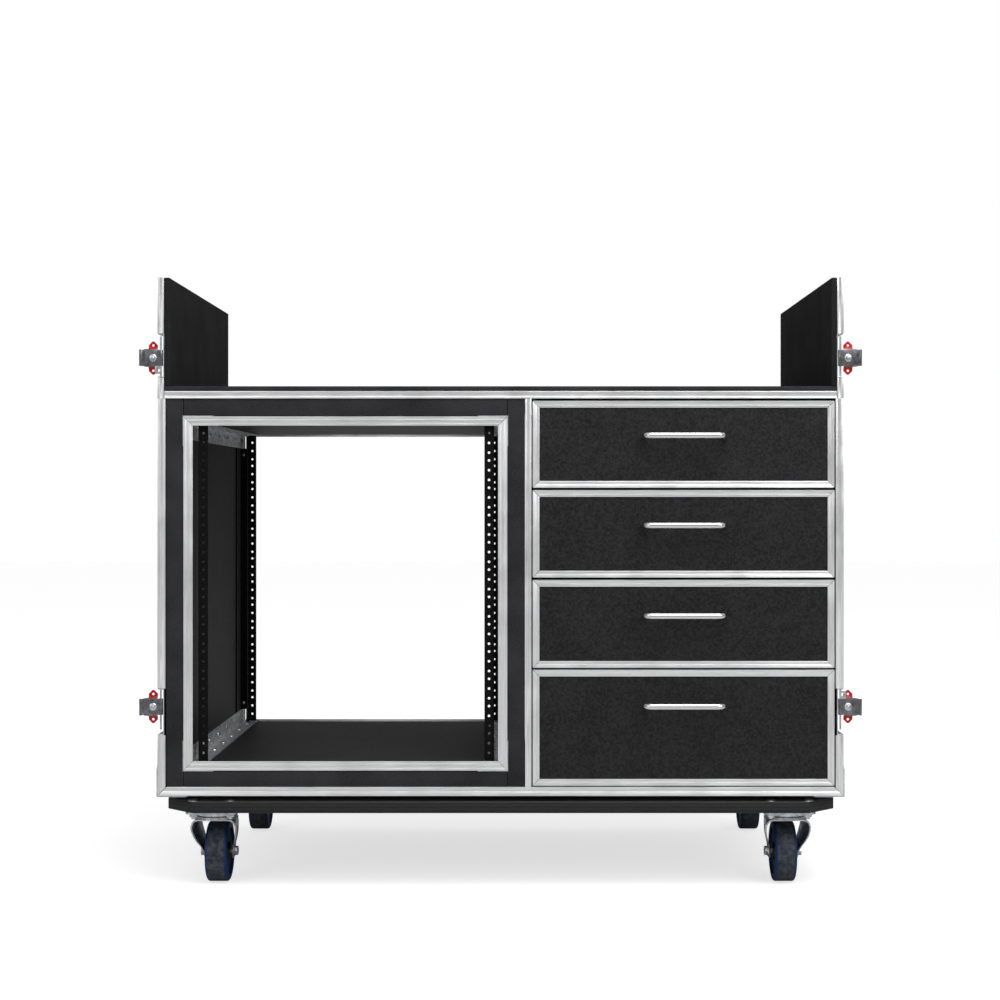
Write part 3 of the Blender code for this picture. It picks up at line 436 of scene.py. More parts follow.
@dataclass
class Finishes:
    """Every finish of the case, each made once, with the record slot of the pieces that have it."""

    made: dict[str, bpy.types.Material] = field(default_factory=dict)
    slots: dict[str, str] = field(default_factory=dict)

    def build(self) -> None:
        """Make all the materials."""
        slots = {
            "laminate": {"laminate": PebbleLaminate()},
            "board_ply": {"board": BirchPlywood()},
            "aluminium_edge": {f"aluminium_{axis.name.lower()}": ExtrudedAluminium(axis) for axis in Grain},
            "zinc_steel": {
                "zinc": ZincPlate(),
                # The latch arms take a darker copy of the zinc plating.
                "latch_steel": ZincPlate("darker_zinc_plate", "#55575a", "#8b8d90", 0.24),
                "galvanised": ZincPlate("galvanised_steel", "#b4b6b8", "#e6e7e8", 0.42),
            },
            "stainless_rod": {"stainless": PolishedStainless()},
            "black_steel": {"powder": PowderCoat()},
            "red_paint": {"red": EnamelPaint()},
            # The wings take the same EVA foam drawn darker: painted shade for their inner faces down the
            # sides of the well.
            "black_foam": {"foam": EvaFoam(), "wing_foam": EvaFoam("wing_foam", "#151516", "#262627")},
            "wheel_tyre": {
                "tread": ElasticRubber("dusty_tread", "#1b2530", "#474b51"),
                "tyre_edge": ElasticRubber("blue_tyre_edge", "#062348", "#0d2d5c", 0.5),
                "nylon": MouldedNylon(),
            },
        }
        for slot, recipes in slots.items():
            for key, recipe in recipes.items():
                self.made[key] = recipe.material()
                self.slots[key] = slot

    def dress(self, obj: bpy.types.Object, key: str, node: str = "", body: str = CASE) -> None:
        """Give a new piece its finish and its body.

        Args:
            obj: the finished piece.
            key: its finish.
            node: the CAD node that it replaces, if it does.
            body: the body that it rides on.
        """
        if node:
            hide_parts(node)
        obj.data.materials.clear()
        obj.data.materials.append(self.made[key])
        settle(obj, body)

    def paint(self, node: str, key: str) -> None:
        """Give a CAD node its finish."""
        obj, finish = frame["nodes"][node], self.made[key]
        if not obj.data.materials:
            obj.data.materials.append(finish)
        for entry in obj.material_slots:
            entry.material = finish
        log.info("%s: finished as %s", node, finish.name)


# Modelling


def deselect() -> None:
    """Leave edit mode and select nothing."""
    if bpy.context.object is not None and bpy.context.object.mode != "OBJECT":
        bpy.ops.object.mode_set(mode="OBJECT")
    for obj in bpy.context.view_layer.objects:
        obj.select_set(False)


def take(obj: bpy.types.Object) -> None:
    """Select one object alone and make it active."""
    deselect()
    obj.select_set(True)
    bpy.context.view_layer.objects.active = obj


@contextmanager
def editing(obj: bpy.types.Object) -> Iterator[None]:
    """Open a piece in edit mode with all of it selected, and close it afterwards."""
    take(obj)
    bpy.ops.object.mode_set(mode="EDIT")
    bpy.ops.mesh.select_all(action="SELECT")
    yield
    bpy.ops.object.mode_set(mode="OBJECT")


def pick(obj: bpy.types.Object, kind: str, test: Callable[[Vector, Vector], bool]) -> None:
    """Select, in edit mode, the faces or edges that pass a test.

    Args:
        obj: the object in edit mode.
        kind: FACE or EDGE.
        test: takes a face's middle and normal, or an edge's two ends.
    """
    bpy.ops.mesh.select_mode(type=kind)
    bpy.ops.mesh.select_all(action="DESELECT")
    shape = bmesh.from_edit_mesh(obj.data)
    if kind == "FACE":
        wanted = [face for face in shape.faces if test(face.calc_center_median(), face.normal)]
    else:
        wanted = [edge for edge in shape.edges if test(edge.verts[0].co, edge.verts[1].co)]
    for element in wanted:
        element.select_set(True)
    shape.select_flush_mode()
    bmesh.update_edit_mesh(obj.data)


def draw_out(x: float = 0.0, y: float = 0.0, z: float = 0.0) -> None:
    """Extrude what is selected by a move."""
    bpy.ops.mesh.extrude_region_move(TRANSFORM_OT_translate={"value": (x, y, z)})


def score(place: Sequence[float], normal: Sequence[float]) -> None:
    """Add edges where a plane crosses the whole mesh in edit mode."""
    bpy.ops.mesh.select_all(action="SELECT")
    bpy.ops.mesh.bisect(plane_co=place, plane_no=normal)


def block(name: str, corner: Sequence[float], opposite: Sequence[float]) -> bpy.types.Object:
    """Add a cube between any two opposite corners, ready to be shaped."""
    deselect()
    lowest, highest = Vector(map(min, corner, opposite)), Vector(map(max, corner, opposite))
    bpy.ops.mesh.primitive_cube_add(size=1.0, location=(lowest + highest) / 2)
    obj = bpy.context.object
    obj.name = name
    obj.scale = highest - lowest
    bpy.ops.object.transform_apply(location=True, rotation=True, scale=True)
    return obj


def disc(
    name: str, radius: float, depth: float, centre: Sequence[float], axis: Grain, sides: int = 48
) -> bpy.types.Object:
    """Add a cylinder along an axis, ready to be shaped."""
    deselect()
    turn = {Grain.X: (0, math.pi / 2, 0), Grain.Y: (math.pi / 2, 0, 0), Grain.Z: (0, 0, 0)}[axis]
    bpy.ops.mesh.primitive_cylinder_add(
        vertices=sides, radius=radius, depth=depth, location=centre, rotation=turn
    )
    obj = bpy.context.object
    obj.name = name
    bpy.ops.object.transform_apply(location=True, rotation=True, scale=True)
    return obj


def apply_modifier(obj: bpy.types.Object, kind: str, **settings) -> None:
    """Add a modifier with its settings and apply it."""
    take(obj)
    step = obj.modifiers.new(kind.lower(), kind)
    for name, value in settings.items():
        setattr(step, name, value)
    bpy.ops.object.modifier_apply(modifier=step.name)


def ease_edges(obj: bpy.types.Object, width: float, segments: int = 2, degrees: float = 40.0) -> None:
    """Round the sharp edges of a piece by a real width."""
    apply_modifier(
        obj,
        "BEVEL",
        width=width,
        segments=segments,
        limit_method="ANGLE",
        angle_limit=math.radians(degrees),
        use_clamp_overlap=True,
        harden_normals=False,
    )


def smooth(obj: bpy.types.Object, degrees: float = 35.0) -> None:
    """Shade a piece smooth and keep its sharp edges."""
    take(obj)
    bpy.ops.object.shade_smooth_by_angle(angle=math.radians(degrees))


def soften(obj: bpy.types.Object, width: float, segments: int = 2, shading: float = 35.0) -> None:
    """Round a piece's edges and shade it smooth."""
    ease_edges(obj, width, segments)
    smooth(obj, shading)


def carve(obj: bpy.types.Object, tool: bpy.types.Object, operation: str = "DIFFERENCE") -> None:
    """Cut a tool out of a piece, or join it, and delete the tool."""
    apply_modifier(obj, "BOOLEAN", operation=operation, object=tool, solver="EXACT")
    bpy.data.objects.remove(tool, do_unlink=True)


def merge(name: str, pieces: Sequence[bpy.types.Object]) -> bpy.types.Object:
    """Join pieces into one object under a name."""
    deselect()
    for piece in pieces:
        piece.select_set(True)
    bpy.context.view_layer.objects.active = pieces[0]
    if len(pieces) > 1:
        bpy.ops.object.join()
    pieces[0].name = name
    return pieces[0]


def move_mesh(obj: bpy.types.Object, move: Matrix) -> bpy.types.Object:
    """Move a piece's mesh; a mirrored one is turned right side out."""
    obj.data.transform(move)
    if move.determinant() < 0:
        obj.data.flip_normals()
    return obj


def copy_at(obj: bpy.types.Object, name: str, move: Matrix) -> bpy.types.Object:
    """Return a moved copy of a piece with its own mesh."""
    made = obj.copy()
    made.data = obj.data.copy()
    made.name = name
    bpy.context.scene.collection.objects.link(made)
    return move_mesh(made, move)


def strip_through(name: str, rows: Sequence[tuple[Vector, Vector]], sheet: float) -> bpy.types.Object:
    """Model a bent sheet by extruding one edge of a plane from row to row.

    Args:
        name: the piece's name.
        rows: the two ends of the sheet's edge at each bend.
        sheet: the sheet's thickness.

    Returns:
        The thickened sheet, its middle surface on the rows.
    """
    deselect()
    first, second = rows[0]
    bpy.ops.mesh.primitive_plane_add(size=1.0, location=(first + second) / 2)
    obj = bpy.context.object
    obj.name = name
    obj.scale.y = (second - first).length
    bpy.ops.object.transform_apply(location=True, rotation=True, scale=True)
    with editing(obj):
        pick(obj, "EDGE", lambda a, b: max(a.x, b.x) < first.x)
        bpy.ops.mesh.delete(type="VERT")
        bpy.ops.mesh.select_all(action="SELECT")
        bpy.ops.transform.translate(value=(-0.5, 0, 0))
        for before, after in zip(rows, rows[1:]):
            old_middle, new_middle = (before[0] + before[1]) / 2, (after[0] + after[1]) / 2
            draw_out(*(new_middle - old_middle))
            was, now = before[1] - before[0], after[1] - after[0]
            if abs(now.length / was.length - 1.0) > 1e-4:
                bpy.ops.transform.resize(value=(now.length / was.length,) * 3, center_override=new_middle)
            turn = was.xy.angle_signed(now.xy)
            if abs(turn) > 1e-4:
                bpy.ops.transform.rotate(value=turn, orient_axis="Z", center_override=new_middle)
    apply_modifier(obj, "SOLIDIFY", thickness=sheet, offset=0.0, use_even_offset=True)
    with editing(obj):
        bpy.ops.mesh.normals_make_consistent(inside=False)
    return obj


def arc_points(centre: tuple, radius: float, start: float, end: float, steps: int) -> list[tuple]:
    """Return flat points along an arc given in degrees, both ends included."""
    angles = [math.radians(start + (end - start) * i / steps) for i in range(steps + 1)]
    return [(centre[0] + radius * math.cos(a), centre[1] + radius * math.sin(a)) for a in angles]


@dataclass
class Extrusion:
    """A drawn channel bar: a face, an outer and an inner leg, and grooves along the outside.

    The bar lies along local X with its face up along local Z and its outer leg on the +Y side. Each
    groove is a pair: its middle and its width, as parts of the face or of the outer leg.
    """

    length: float
    face: float
    sheet: float = 1.5 * MM
    outer_leg: float = 10 * MM
    inner_leg: float = 0.0
    grooves: tuple[tuple[float, float], ...] = ()
    side_grooves: tuple[tuple[float, float], ...] = ()
    groove_depth: float = 0.45 * MM
    mitre_start: bool = False
    mitre_end: bool = False
    mitre_gap: float = 0.35 * MM
    edge: float = 0.35 * MM

    def build(self, name: str) -> bpy.types.Object:
        """Model the bar in its own frame, its face's top at Z = 0 and its middle at X = 0."""
        half = self.length / 2
        obj = block(name, (-half, 0.0, -self.sheet), (half, self.face, 0.0))
        with editing(obj):
            self._add_legs(obj)
            self._groove(obj)
            self._mitre()
        soften(obj, self.edge)
        return obj

    def _add_legs(self, obj: bpy.types.Object) -> None:
        """Extrude the outer and the inner leg down from the face."""
        for depth, side in ((self.outer_leg, 1), (self.inner_leg, -1)):
            if depth <= self.sheet:
                continue
            line = self.face - self.sheet if side > 0 else self.sheet
            score((0, line, 0), (0, 1, 0))

            def under_edge(mid: Vector, way: Vector) -> bool:
                return way.z < -0.9 and abs(mid.z + self.sheet) < TINY and side * (mid.y - line) > 0

            pick(obj, "FACE", under_edge)
            draw_out(z=self.sheet - depth)

    def _groove(self, obj: bpy.types.Object) -> None:
        """Sink the grooves along the face, then those along the outside of the outer leg."""
        for place, width in self.grooves:
            near, far = (place - width / 2) * self.face, (place + width / 2) * self.face
            score((0, near, 0), (0, 1, 0))
            score((0, far, 0), (0, 1, 0))
            pick(obj, "FACE", lambda mid, way: way.z > 0.9 and near < mid.y < far)
            draw_out(z=-self.groove_depth)
        for place, width in self.side_grooves:
            near, far = -(place - width / 2) * self.outer_leg, -(place + width / 2) * self.outer_leg
            score((0, 0, near), (0, 0, 1))
            score((0, 0, far), (0, 0, 1))
            pick(obj, "FACE", lambda mid, way: way.y > 0.9 and far < mid.z < near)
            draw_out(y=-self.groove_depth)

    def _mitre(self) -> None:
        """Cut the ends at 45 degrees, the outer side longest."""
        for wanted, way in ((self.mitre_start, -1), (self.mitre_end, 1)):
            if not wanted:
                continue
            bpy.ops.mesh.select_all(action="SELECT")
            bpy.ops.mesh.bisect(
                plane_co=(way * (self.length / 2 - self.mitre_gap), self.face, 0),
                plane_no=(way, -1, 0),
                use_fill=True,
                clear_outer=True,
            )


def bar_between(
    name: str,
    start: Sequence[float],
    end: Sequence[float],
    outward_way: Sequence[float],
    face_way: Sequence[float],
    **profile,
) -> bpy.types.Object:
    """Model an extrusion between two points of its inner face edge.

    Args:
        name: the piece's name.
        start: one end of the line along the inner edge of the face.
        end: the other end of it.
        outward_way: the way across the face, towards the outer leg.
        face_way: the way that the face looks.
        profile: the Extrusion's fields apart from its length.

    Returns:
        The bar in its place.
    """
    start, end = Vector(start), Vector(end)
    along = (end - start).normalized()
    bar = Extrusion(length=(end - start).length, **profile).build(name)
    turn = Matrix((along, Vector(outward_way), Vector(face_way))).transposed().to_4x4()
    return move_mesh(bar, Matrix.Translation((start + end) / 2) @ turn)


def rivets(
    name: str, places: Iterable[Sequence[float]], normal: Sequence[float], radius: float, rise: float
) -> bpy.types.Object:
    """Model one domed rivet head and copy it to each place.

    Args:
        name: the group's name.
        places: where the rivets' feet are.
        normal: the way that the heads look.
        radius: a head's radius.
        rise: how far a head stands up.

    Returns:
        All the heads as one object.
    """
    deselect()
    bpy.ops.mesh.primitive_uv_sphere_add(segments=14, ring_count=8, radius=radius)
    head = bpy.context.object
    head.scale.z = rise / radius
    bpy.ops.object.transform_apply(scale=True)
    with editing(head):
        bpy.ops.mesh.bisect(plane_co=(0, 0, 0), plane_no=(0, 0, -1), use_fill=True, clear_outer=True)
    turn = Vector(normal).to_track_quat("Z", "Y").to_matrix().to_4x4()
    copies = [copy_at(head, name, Matrix.Translation(place) @ turn) for place in places]
    bpy.data.objects.remove(head, do_unlink=True)
    made = merge(name, copies)
    smooth(made, 50)
    return made


def spaced(first: float, last: float, count: int) -> list[float]:
    """Return evenly spaced values with both ends."""
    return [first + (last - first) * i / (count - 1) for i in range(count)]


# Sub-assemblies


@dataclass
class Assembly:
    """A group of the case's pieces, with the finishes that it takes."""

    finishes: Finishes

    def _frame(self, node: str, facing: int, body: str = CASE, **profile) -> None:
        """Model a mitred frame of four bars for a CAD node in a plane square to Y.

        Args:
            node: the CAD node that the frame replaces.
            facing: -1 to face the front, 1 to face the back.
            body: the body that it rides on.
            profile: the Extrusion's fields apart from its length and mitres.
        """
        lowest, highest = low(node), high(node)
        face, y, look = profile["face"], face_y(node, facing), (0, facing, 0)
        x0, x1, z0, z1 = lowest.x, highest.x, lowest.z, highest.z
        runs = (
            ((x0, y, z1 - face), (x1, y, z1 - face), (0, 0, 1)),
            ((x0, y, z0 + face), (x1, y, z0 + face), (0, 0, -1)),
            ((x0 + face, y, z0), (x0 + face, y, z1), (-1, 0, 0)),
            ((x1 - face, y, z0), (x1 - face, y, z1), (1, 0, 0)),
        )
        bars = [
            bar_between(node, start, end, out, look, mitre_start=True, mitre_end=True, **profile)
            for start, end, out in runs
        ]
        flat, upright = merge(f"{node}_rails", bars[:2]), merge(f"{node}_stiles", bars[2:])
        self.finishes.dress(flat, "aluminium_x", node, body)
        self.finishes.dress(upright, "aluminium_z", body=body)

    def _zinc_heads(self, name: str, *heads) -> None:
        """Model and finish a row of zinc-plated rivet heads, told as rivets takes them."""
        self.finishes.dress(rivets(name, *heads), "zinc")


@dataclass
class Panels(Assembly):
    """The plywood of the case, which keeps its CAD shape."""

    laminated: tuple[str, ...] = (
        "side_panel_left",
        "side_panel_right",
        "table_top",
        "bottom_panel",
        "centre_divider",
        "rack_sleeve",
    )

    def build(self) -> None:
        """Finish every panel in pebble laminate."""
        for node in self.laminated:
            self.finishes.paint(node, "laminate")


@dataclass
class EdgeExtrusions(Assembly):
    """The aluminium round the case: channels with a beaded edge on every panel edge, riveted on."""

    sheet: float = 1.7 * MM
    leg: float = 30 * MM
    recess: tuple = ((0.42, 0.38),)
    side_grooves: tuple = ((0.30, 0.05), (0.50, 0.05), (0.86, 0.05))
    wing_face: float = 10.5 * MM
    wide_face: float = 13.0 * MM
    rivet: tuple = (3.2 * MM, 1.1 * MM)
    rivet_inset: float = 22 * MM
    brace_leg: float = 49 * MM
    brace_sheet: float = 1.6 * MM
    brace_width: float = 27.7 * MM
    brace_round: float = 6 * MM
    brace_rivets: tuple = (14 * MM, 37 * MM)
    rivet_ends: tuple = (0.07, 0.09, 0.05)
    latch_rivet_end: float = 0.04
    edge: float = 0.7 * MM
    top_inner_leg: float = 10 * MM
    seam: float = 0.3 * MM
    thin_sheet: float = 1.2 * MM
    thin_edge: float = 0.6 * MM
    table_leg: float = 20 * MM
    bottom_leg: float = 25 * MM
    divider_leg: float = 12 * MM

    def build(self) -> None:
        """Build both sides, then the rails across."""
        self.half = high("latch_trim_right").x
        for word, side in SIDES.items():
            self._side_loop(word, side)
            self._latch_length(word, side)
        self._cross_rails()

    def _bar(self, name: str, start: tuple, end: tuple, side: int, look: tuple, **more) -> bpy.types.Object:
        """Model one bar of a side, with the ribs that all of them have."""
        return bar_between(
            name,
            start,
            end,
            (side, 0, 0),
            look,
            sheet=self.sheet,
            outer_leg=self.leg,
            grooves=self.recess,
            side_grooves=self.side_grooves,
            edge=self.edge,
            **more,
        )

    def _upright(
        self, side: int, face: float, z_pair: tuple, y: float, facing: int = -1, mitre: bool = False
    ) -> bpy.types.Object:
        """Model one upright of a side.

        Args:
            side: -1 on the left, 1 on the right.
            face: the width of its face.
            z_pair: its lower and upper end.
            y: where its face lies.
            facing: -1 to face the front, 1 to face the back.
            mitre: whether its lower end is mitred.

        Returns:
            The upright.
        """
        inner = side * (self.half - face)
        start, end = ((inner, y, z) for z in z_pair)
        return self._bar("upright", start, end, side, (0, facing, 0), face=face, mitre_start=mitre)

    def _side_loop(self, word: str, side: int) -> None:
        """Model the channels round one side panel, apart from the length between the latches."""
        node = f"edge_trim_{word}"
        top, front, back = high(node).z, low(node).y, high(node).y
        base, table = low("bottom_front_rail").z, low("well_lining").z
        gap_low, gap_high = low(f"latch_dish_lower_{word}").z, high(f"latch_dish_upper_{word}").z
        uprights = [
            self._upright(side, self.wide_face, (base, gap_low), front, mitre=True),
            self._upright(side, self.wing_face, (gap_high, top), front),
            self._upright(side, self.wide_face, (base, table), back, 1, mitre=True),
            self._upright(side, self.wing_face, (table, top), back, 1),
        ]
        self.finishes.dress(merge(f"edge_uprights_{word}", uprights), "aluminium_z", node)
        inner = side * (self.half - self.wing_face)
        ends = front + self.sheet, back - self.sheet
        runs = []
        for z, look, leg in ((top, 1, self.top_inner_leg), (base, -1, 0.0)):
            start, stop = ((inner, y, z) for y in ends)
            shape = {"face": self.wing_face, "inner_leg": leg}
            runs.append(self._bar("run", start, stop, side, (0, 0, look), **shape))
        self.finishes.dress(merge(f"edge_runs_{word}", runs), "aluminium_y")
        along, above_base, under_top = self.rivet_ends
        outer, depths = side * self.half, spaced(front + along, back - along, 7)
        heights = spaced(base + above_base, top - under_top, 9)
        places = [(outer, back - self.rivet_inset, z) for z in heights]
        places += [(outer, y, top - self.rivet_inset) for y in depths]
        places += [(outer, y, base + self.rivet_inset) for y in depths]
        self._zinc_heads(f"side_rivets_{word}", places, (side, 0, 0), *self.rivet)
        self._corner_braces(word, side, base, front, back)

    def _corner_braces(self, word: str, side: int, base: float, front: float, back: float) -> None:
        """Model the steel angles over the two bottom corners, bent from strip with round ends."""
        outer = side * self.half
        tip, wall_x = outer - side * self.brace_leg, outer + side * self.brace_sheet
        crest, sole_z = base + self.brace_leg, base - self.seam
        made = []
        for y0, y1 in (
            (front + self.seam, front + self.brace_width),
            (back - self.brace_width, back - self.seam),
        ):
            wall = block("brace", (outer, y0, base - self.brace_sheet), (wall_x, y1, crest))
            sole = block("brace", (outer, y0, sole_z - self.brace_sheet), (tip, y1, sole_z))
            ends = (
                (wall, lambda a, b: min(a.z, b.z) > crest - 1 * MM and abs(a.x - b.x) > 0.5 * MM),
                (sole, lambda a, b: max(abs(a.x - tip), abs(b.x - tip)) < TINY and abs(a.z - b.z) > 0.5 * MM),
            )
            for piece, is_end in ends:
                with editing(piece):
                    pick(piece, "EDGE", is_end)
                    bpy.ops.mesh.bevel(offset=self.brace_round, segments=5)
                soften(piece, 0.4 * MM)
            spots = [(wall_x, (y0 + y1) / 2, base + z) for z in self.brace_rivets]
            made += [wall, sole, rivets("brace", spots, (side, 0, 0), *self.rivet)]
        self.finishes.dress(merge(f"corner_braces_{word}", made), "zinc")

    def _latch_length(self, word: str, side: int) -> None:
        """Model the upright between the two latches, wide below the table and narrow above it."""
        node = f"latch_trim_{word}"
        front, table = low(node).y, low("table_front_rail").z
        pair = [
            self._upright(side, self.wide_face, (low(node).z, table), front),
            self._upright(side, self.wing_face, (table, high(node).z), front),
        ]
        self.finishes.dress(merge(f"latch_upright_{word}", pair), "aluminium_z", node)
        end = self.latch_rivet_end
        heights = spaced(low(node).z + end, high(node).z - end, 5)
        places = [(side * self.half, front + self.rivet_inset, z) for z in heights]
        self._zinc_heads(f"latch_upright_rivets_{word}", places, (side, 0, 0), *self.rivet)

    def _cross_rails(self) -> None:
        """Model the rails on the table, the bottom and the divider; the bottom ones are mitred."""
        for end in ("front_rail", "rear_rail"):
            facing = -1 if end.startswith("front") else 1
            for level in ("table", "bottom"):
                node = f"{level}_{end}"
                lowest, highest = low(node), high(node)
                is_bottom = level == "bottom"
                edge_z, way = (highest.z, -1) if is_bottom else (lowest.z, 1)
                reach = self.half if is_bottom else highest.x
                grooves = ((0.46, 0.22),) if is_bottom else ((0.5, 0.56),)
                start, stop = ((x, face_y(node, facing), edge_z) for x in (-reach, reach))
                self._thin_channel(
                    node,
                    f"{node}_channel",
                    "aluminium_x",
                    (start, stop, (0, 0, way), (0, facing, 0)),
                    face=highest.z - lowest.z,
                    leg=self.bottom_leg if is_bottom else self.table_leg,
                    grooves=grooves,
                    mitre_start=is_bottom,
                    mitre_end=is_bottom,
                )
        node = "divider_trim"
        lowest, highest = low(node), high(node)
        line = (lowest, (lowest.x, lowest.y, highest.z), (1, 0, 0), (0, -1, 0))
        self._thin_channel(
            node,
            "divider_channel",
            "aluminium_z",
            line,
            face=highest.x - lowest.x,
            leg=self.divider_leg,
            grooves=((0.5, 0.40),),
        )

    def _thin_channel(self, node: str, name: str, key: str, line: tuple, leg: float, **profile) -> None:
        """Model a channel with two legs of one length, along a line as bar_between takes it."""
        sizes = {"sheet": self.thin_sheet, "outer_leg": leg, "inner_leg": leg, "edge": self.thin_edge}
        self.finishes.dress(bar_between(name, *line, **sizes, **profile), key, node)


@dataclass
class FoamLining(Assembly):
    """The foam of the mixer well and round the rack sleeve, cut from sheet with soft edges."""

    table_sheet: float = 7.7 * MM
    wing_sheet: float = 8.7 * MM
    seam: float = 0.3 * MM
    pad_gap: float = 0.4 * MM
    edge: float = 1.6 * MM
    grid: float = 45 * MM

    def build(self) -> None:
        """Build the table and wing linings, then the four pads round the sleeve."""
        lowest, highest = low("well_lining"), high("well_lining")
        table_top = lowest.z + self.table_sheet
        self._sheet("table_foam", lowest, Vector((highest.x, highest.y, table_top)), "foam", "well_lining")
        base = table_top + self.seam
        for word, (x0, x1) in {
            "left": (lowest.x, lowest.x + self.wing_sheet),
            "right": (highest.x - self.wing_sheet, highest.x),
        }.items():
            corners = Vector((x0, lowest.y, base)), Vector((x1, highest.y, highest.z))
            # The wing sheets take the darker foam, painted shade for their inner faces.
            self._sheet(f"wing_foam_{word}", *corners, "wing_foam")
        self._sleeve_pads()

    def _sheet(self, name: str, lowest: Vector, highest: Vector, key: str, node: str = "") -> None:
        """Model one foam sheet: a cut block with a grid of edges and soft corners."""
        pad = block(name, lowest, highest)
        size = highest - lowest
        with editing(pad):
            for axis in range(3):
                cuts = int(size[axis] / self.grid)
                for i in range(1, cuts):
                    place, way = Vector(lowest), [0, 0, 0]
                    place[axis] += size[axis] * i / cuts
                    way[axis] = 1
                    score(place, way)
        soften(pad, min(self.edge, min(size) * 0.3), 3, 50)
        if node:
            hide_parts(node)
        self.finishes.dress(pad, key)

    def _sleeve_pads(self) -> None:
        """Model the side pads at full height and the top and bottom pads between them."""
        (x0, y0, z0), (x3, y1, z3) = low("rack_foam"), high("rack_foam")
        (x1, _, z1), (x2, _, z2) = low("sleeve_edging_front"), high("sleeve_edging_front")
        gap = self.pad_gap
        pads = {
            "left": ((x0, z0), (x1 - gap, z3)),
            "right": ((x2 + gap, z0), (x3, z3)),
            "top": ((x1, z2 + gap), (x2, z3)),
            "bottom": ((x1, z0), (x2, z1 - gap)),
        }
        for word, ((xa, za), (xb, zb)) in pads.items():
            node = "rack_foam" if word == "left" else ""
            self._sheet(f"rack_foam_{word}", Vector((xa, y0, za)), Vector((xb, y1, zb)), "foam", node)


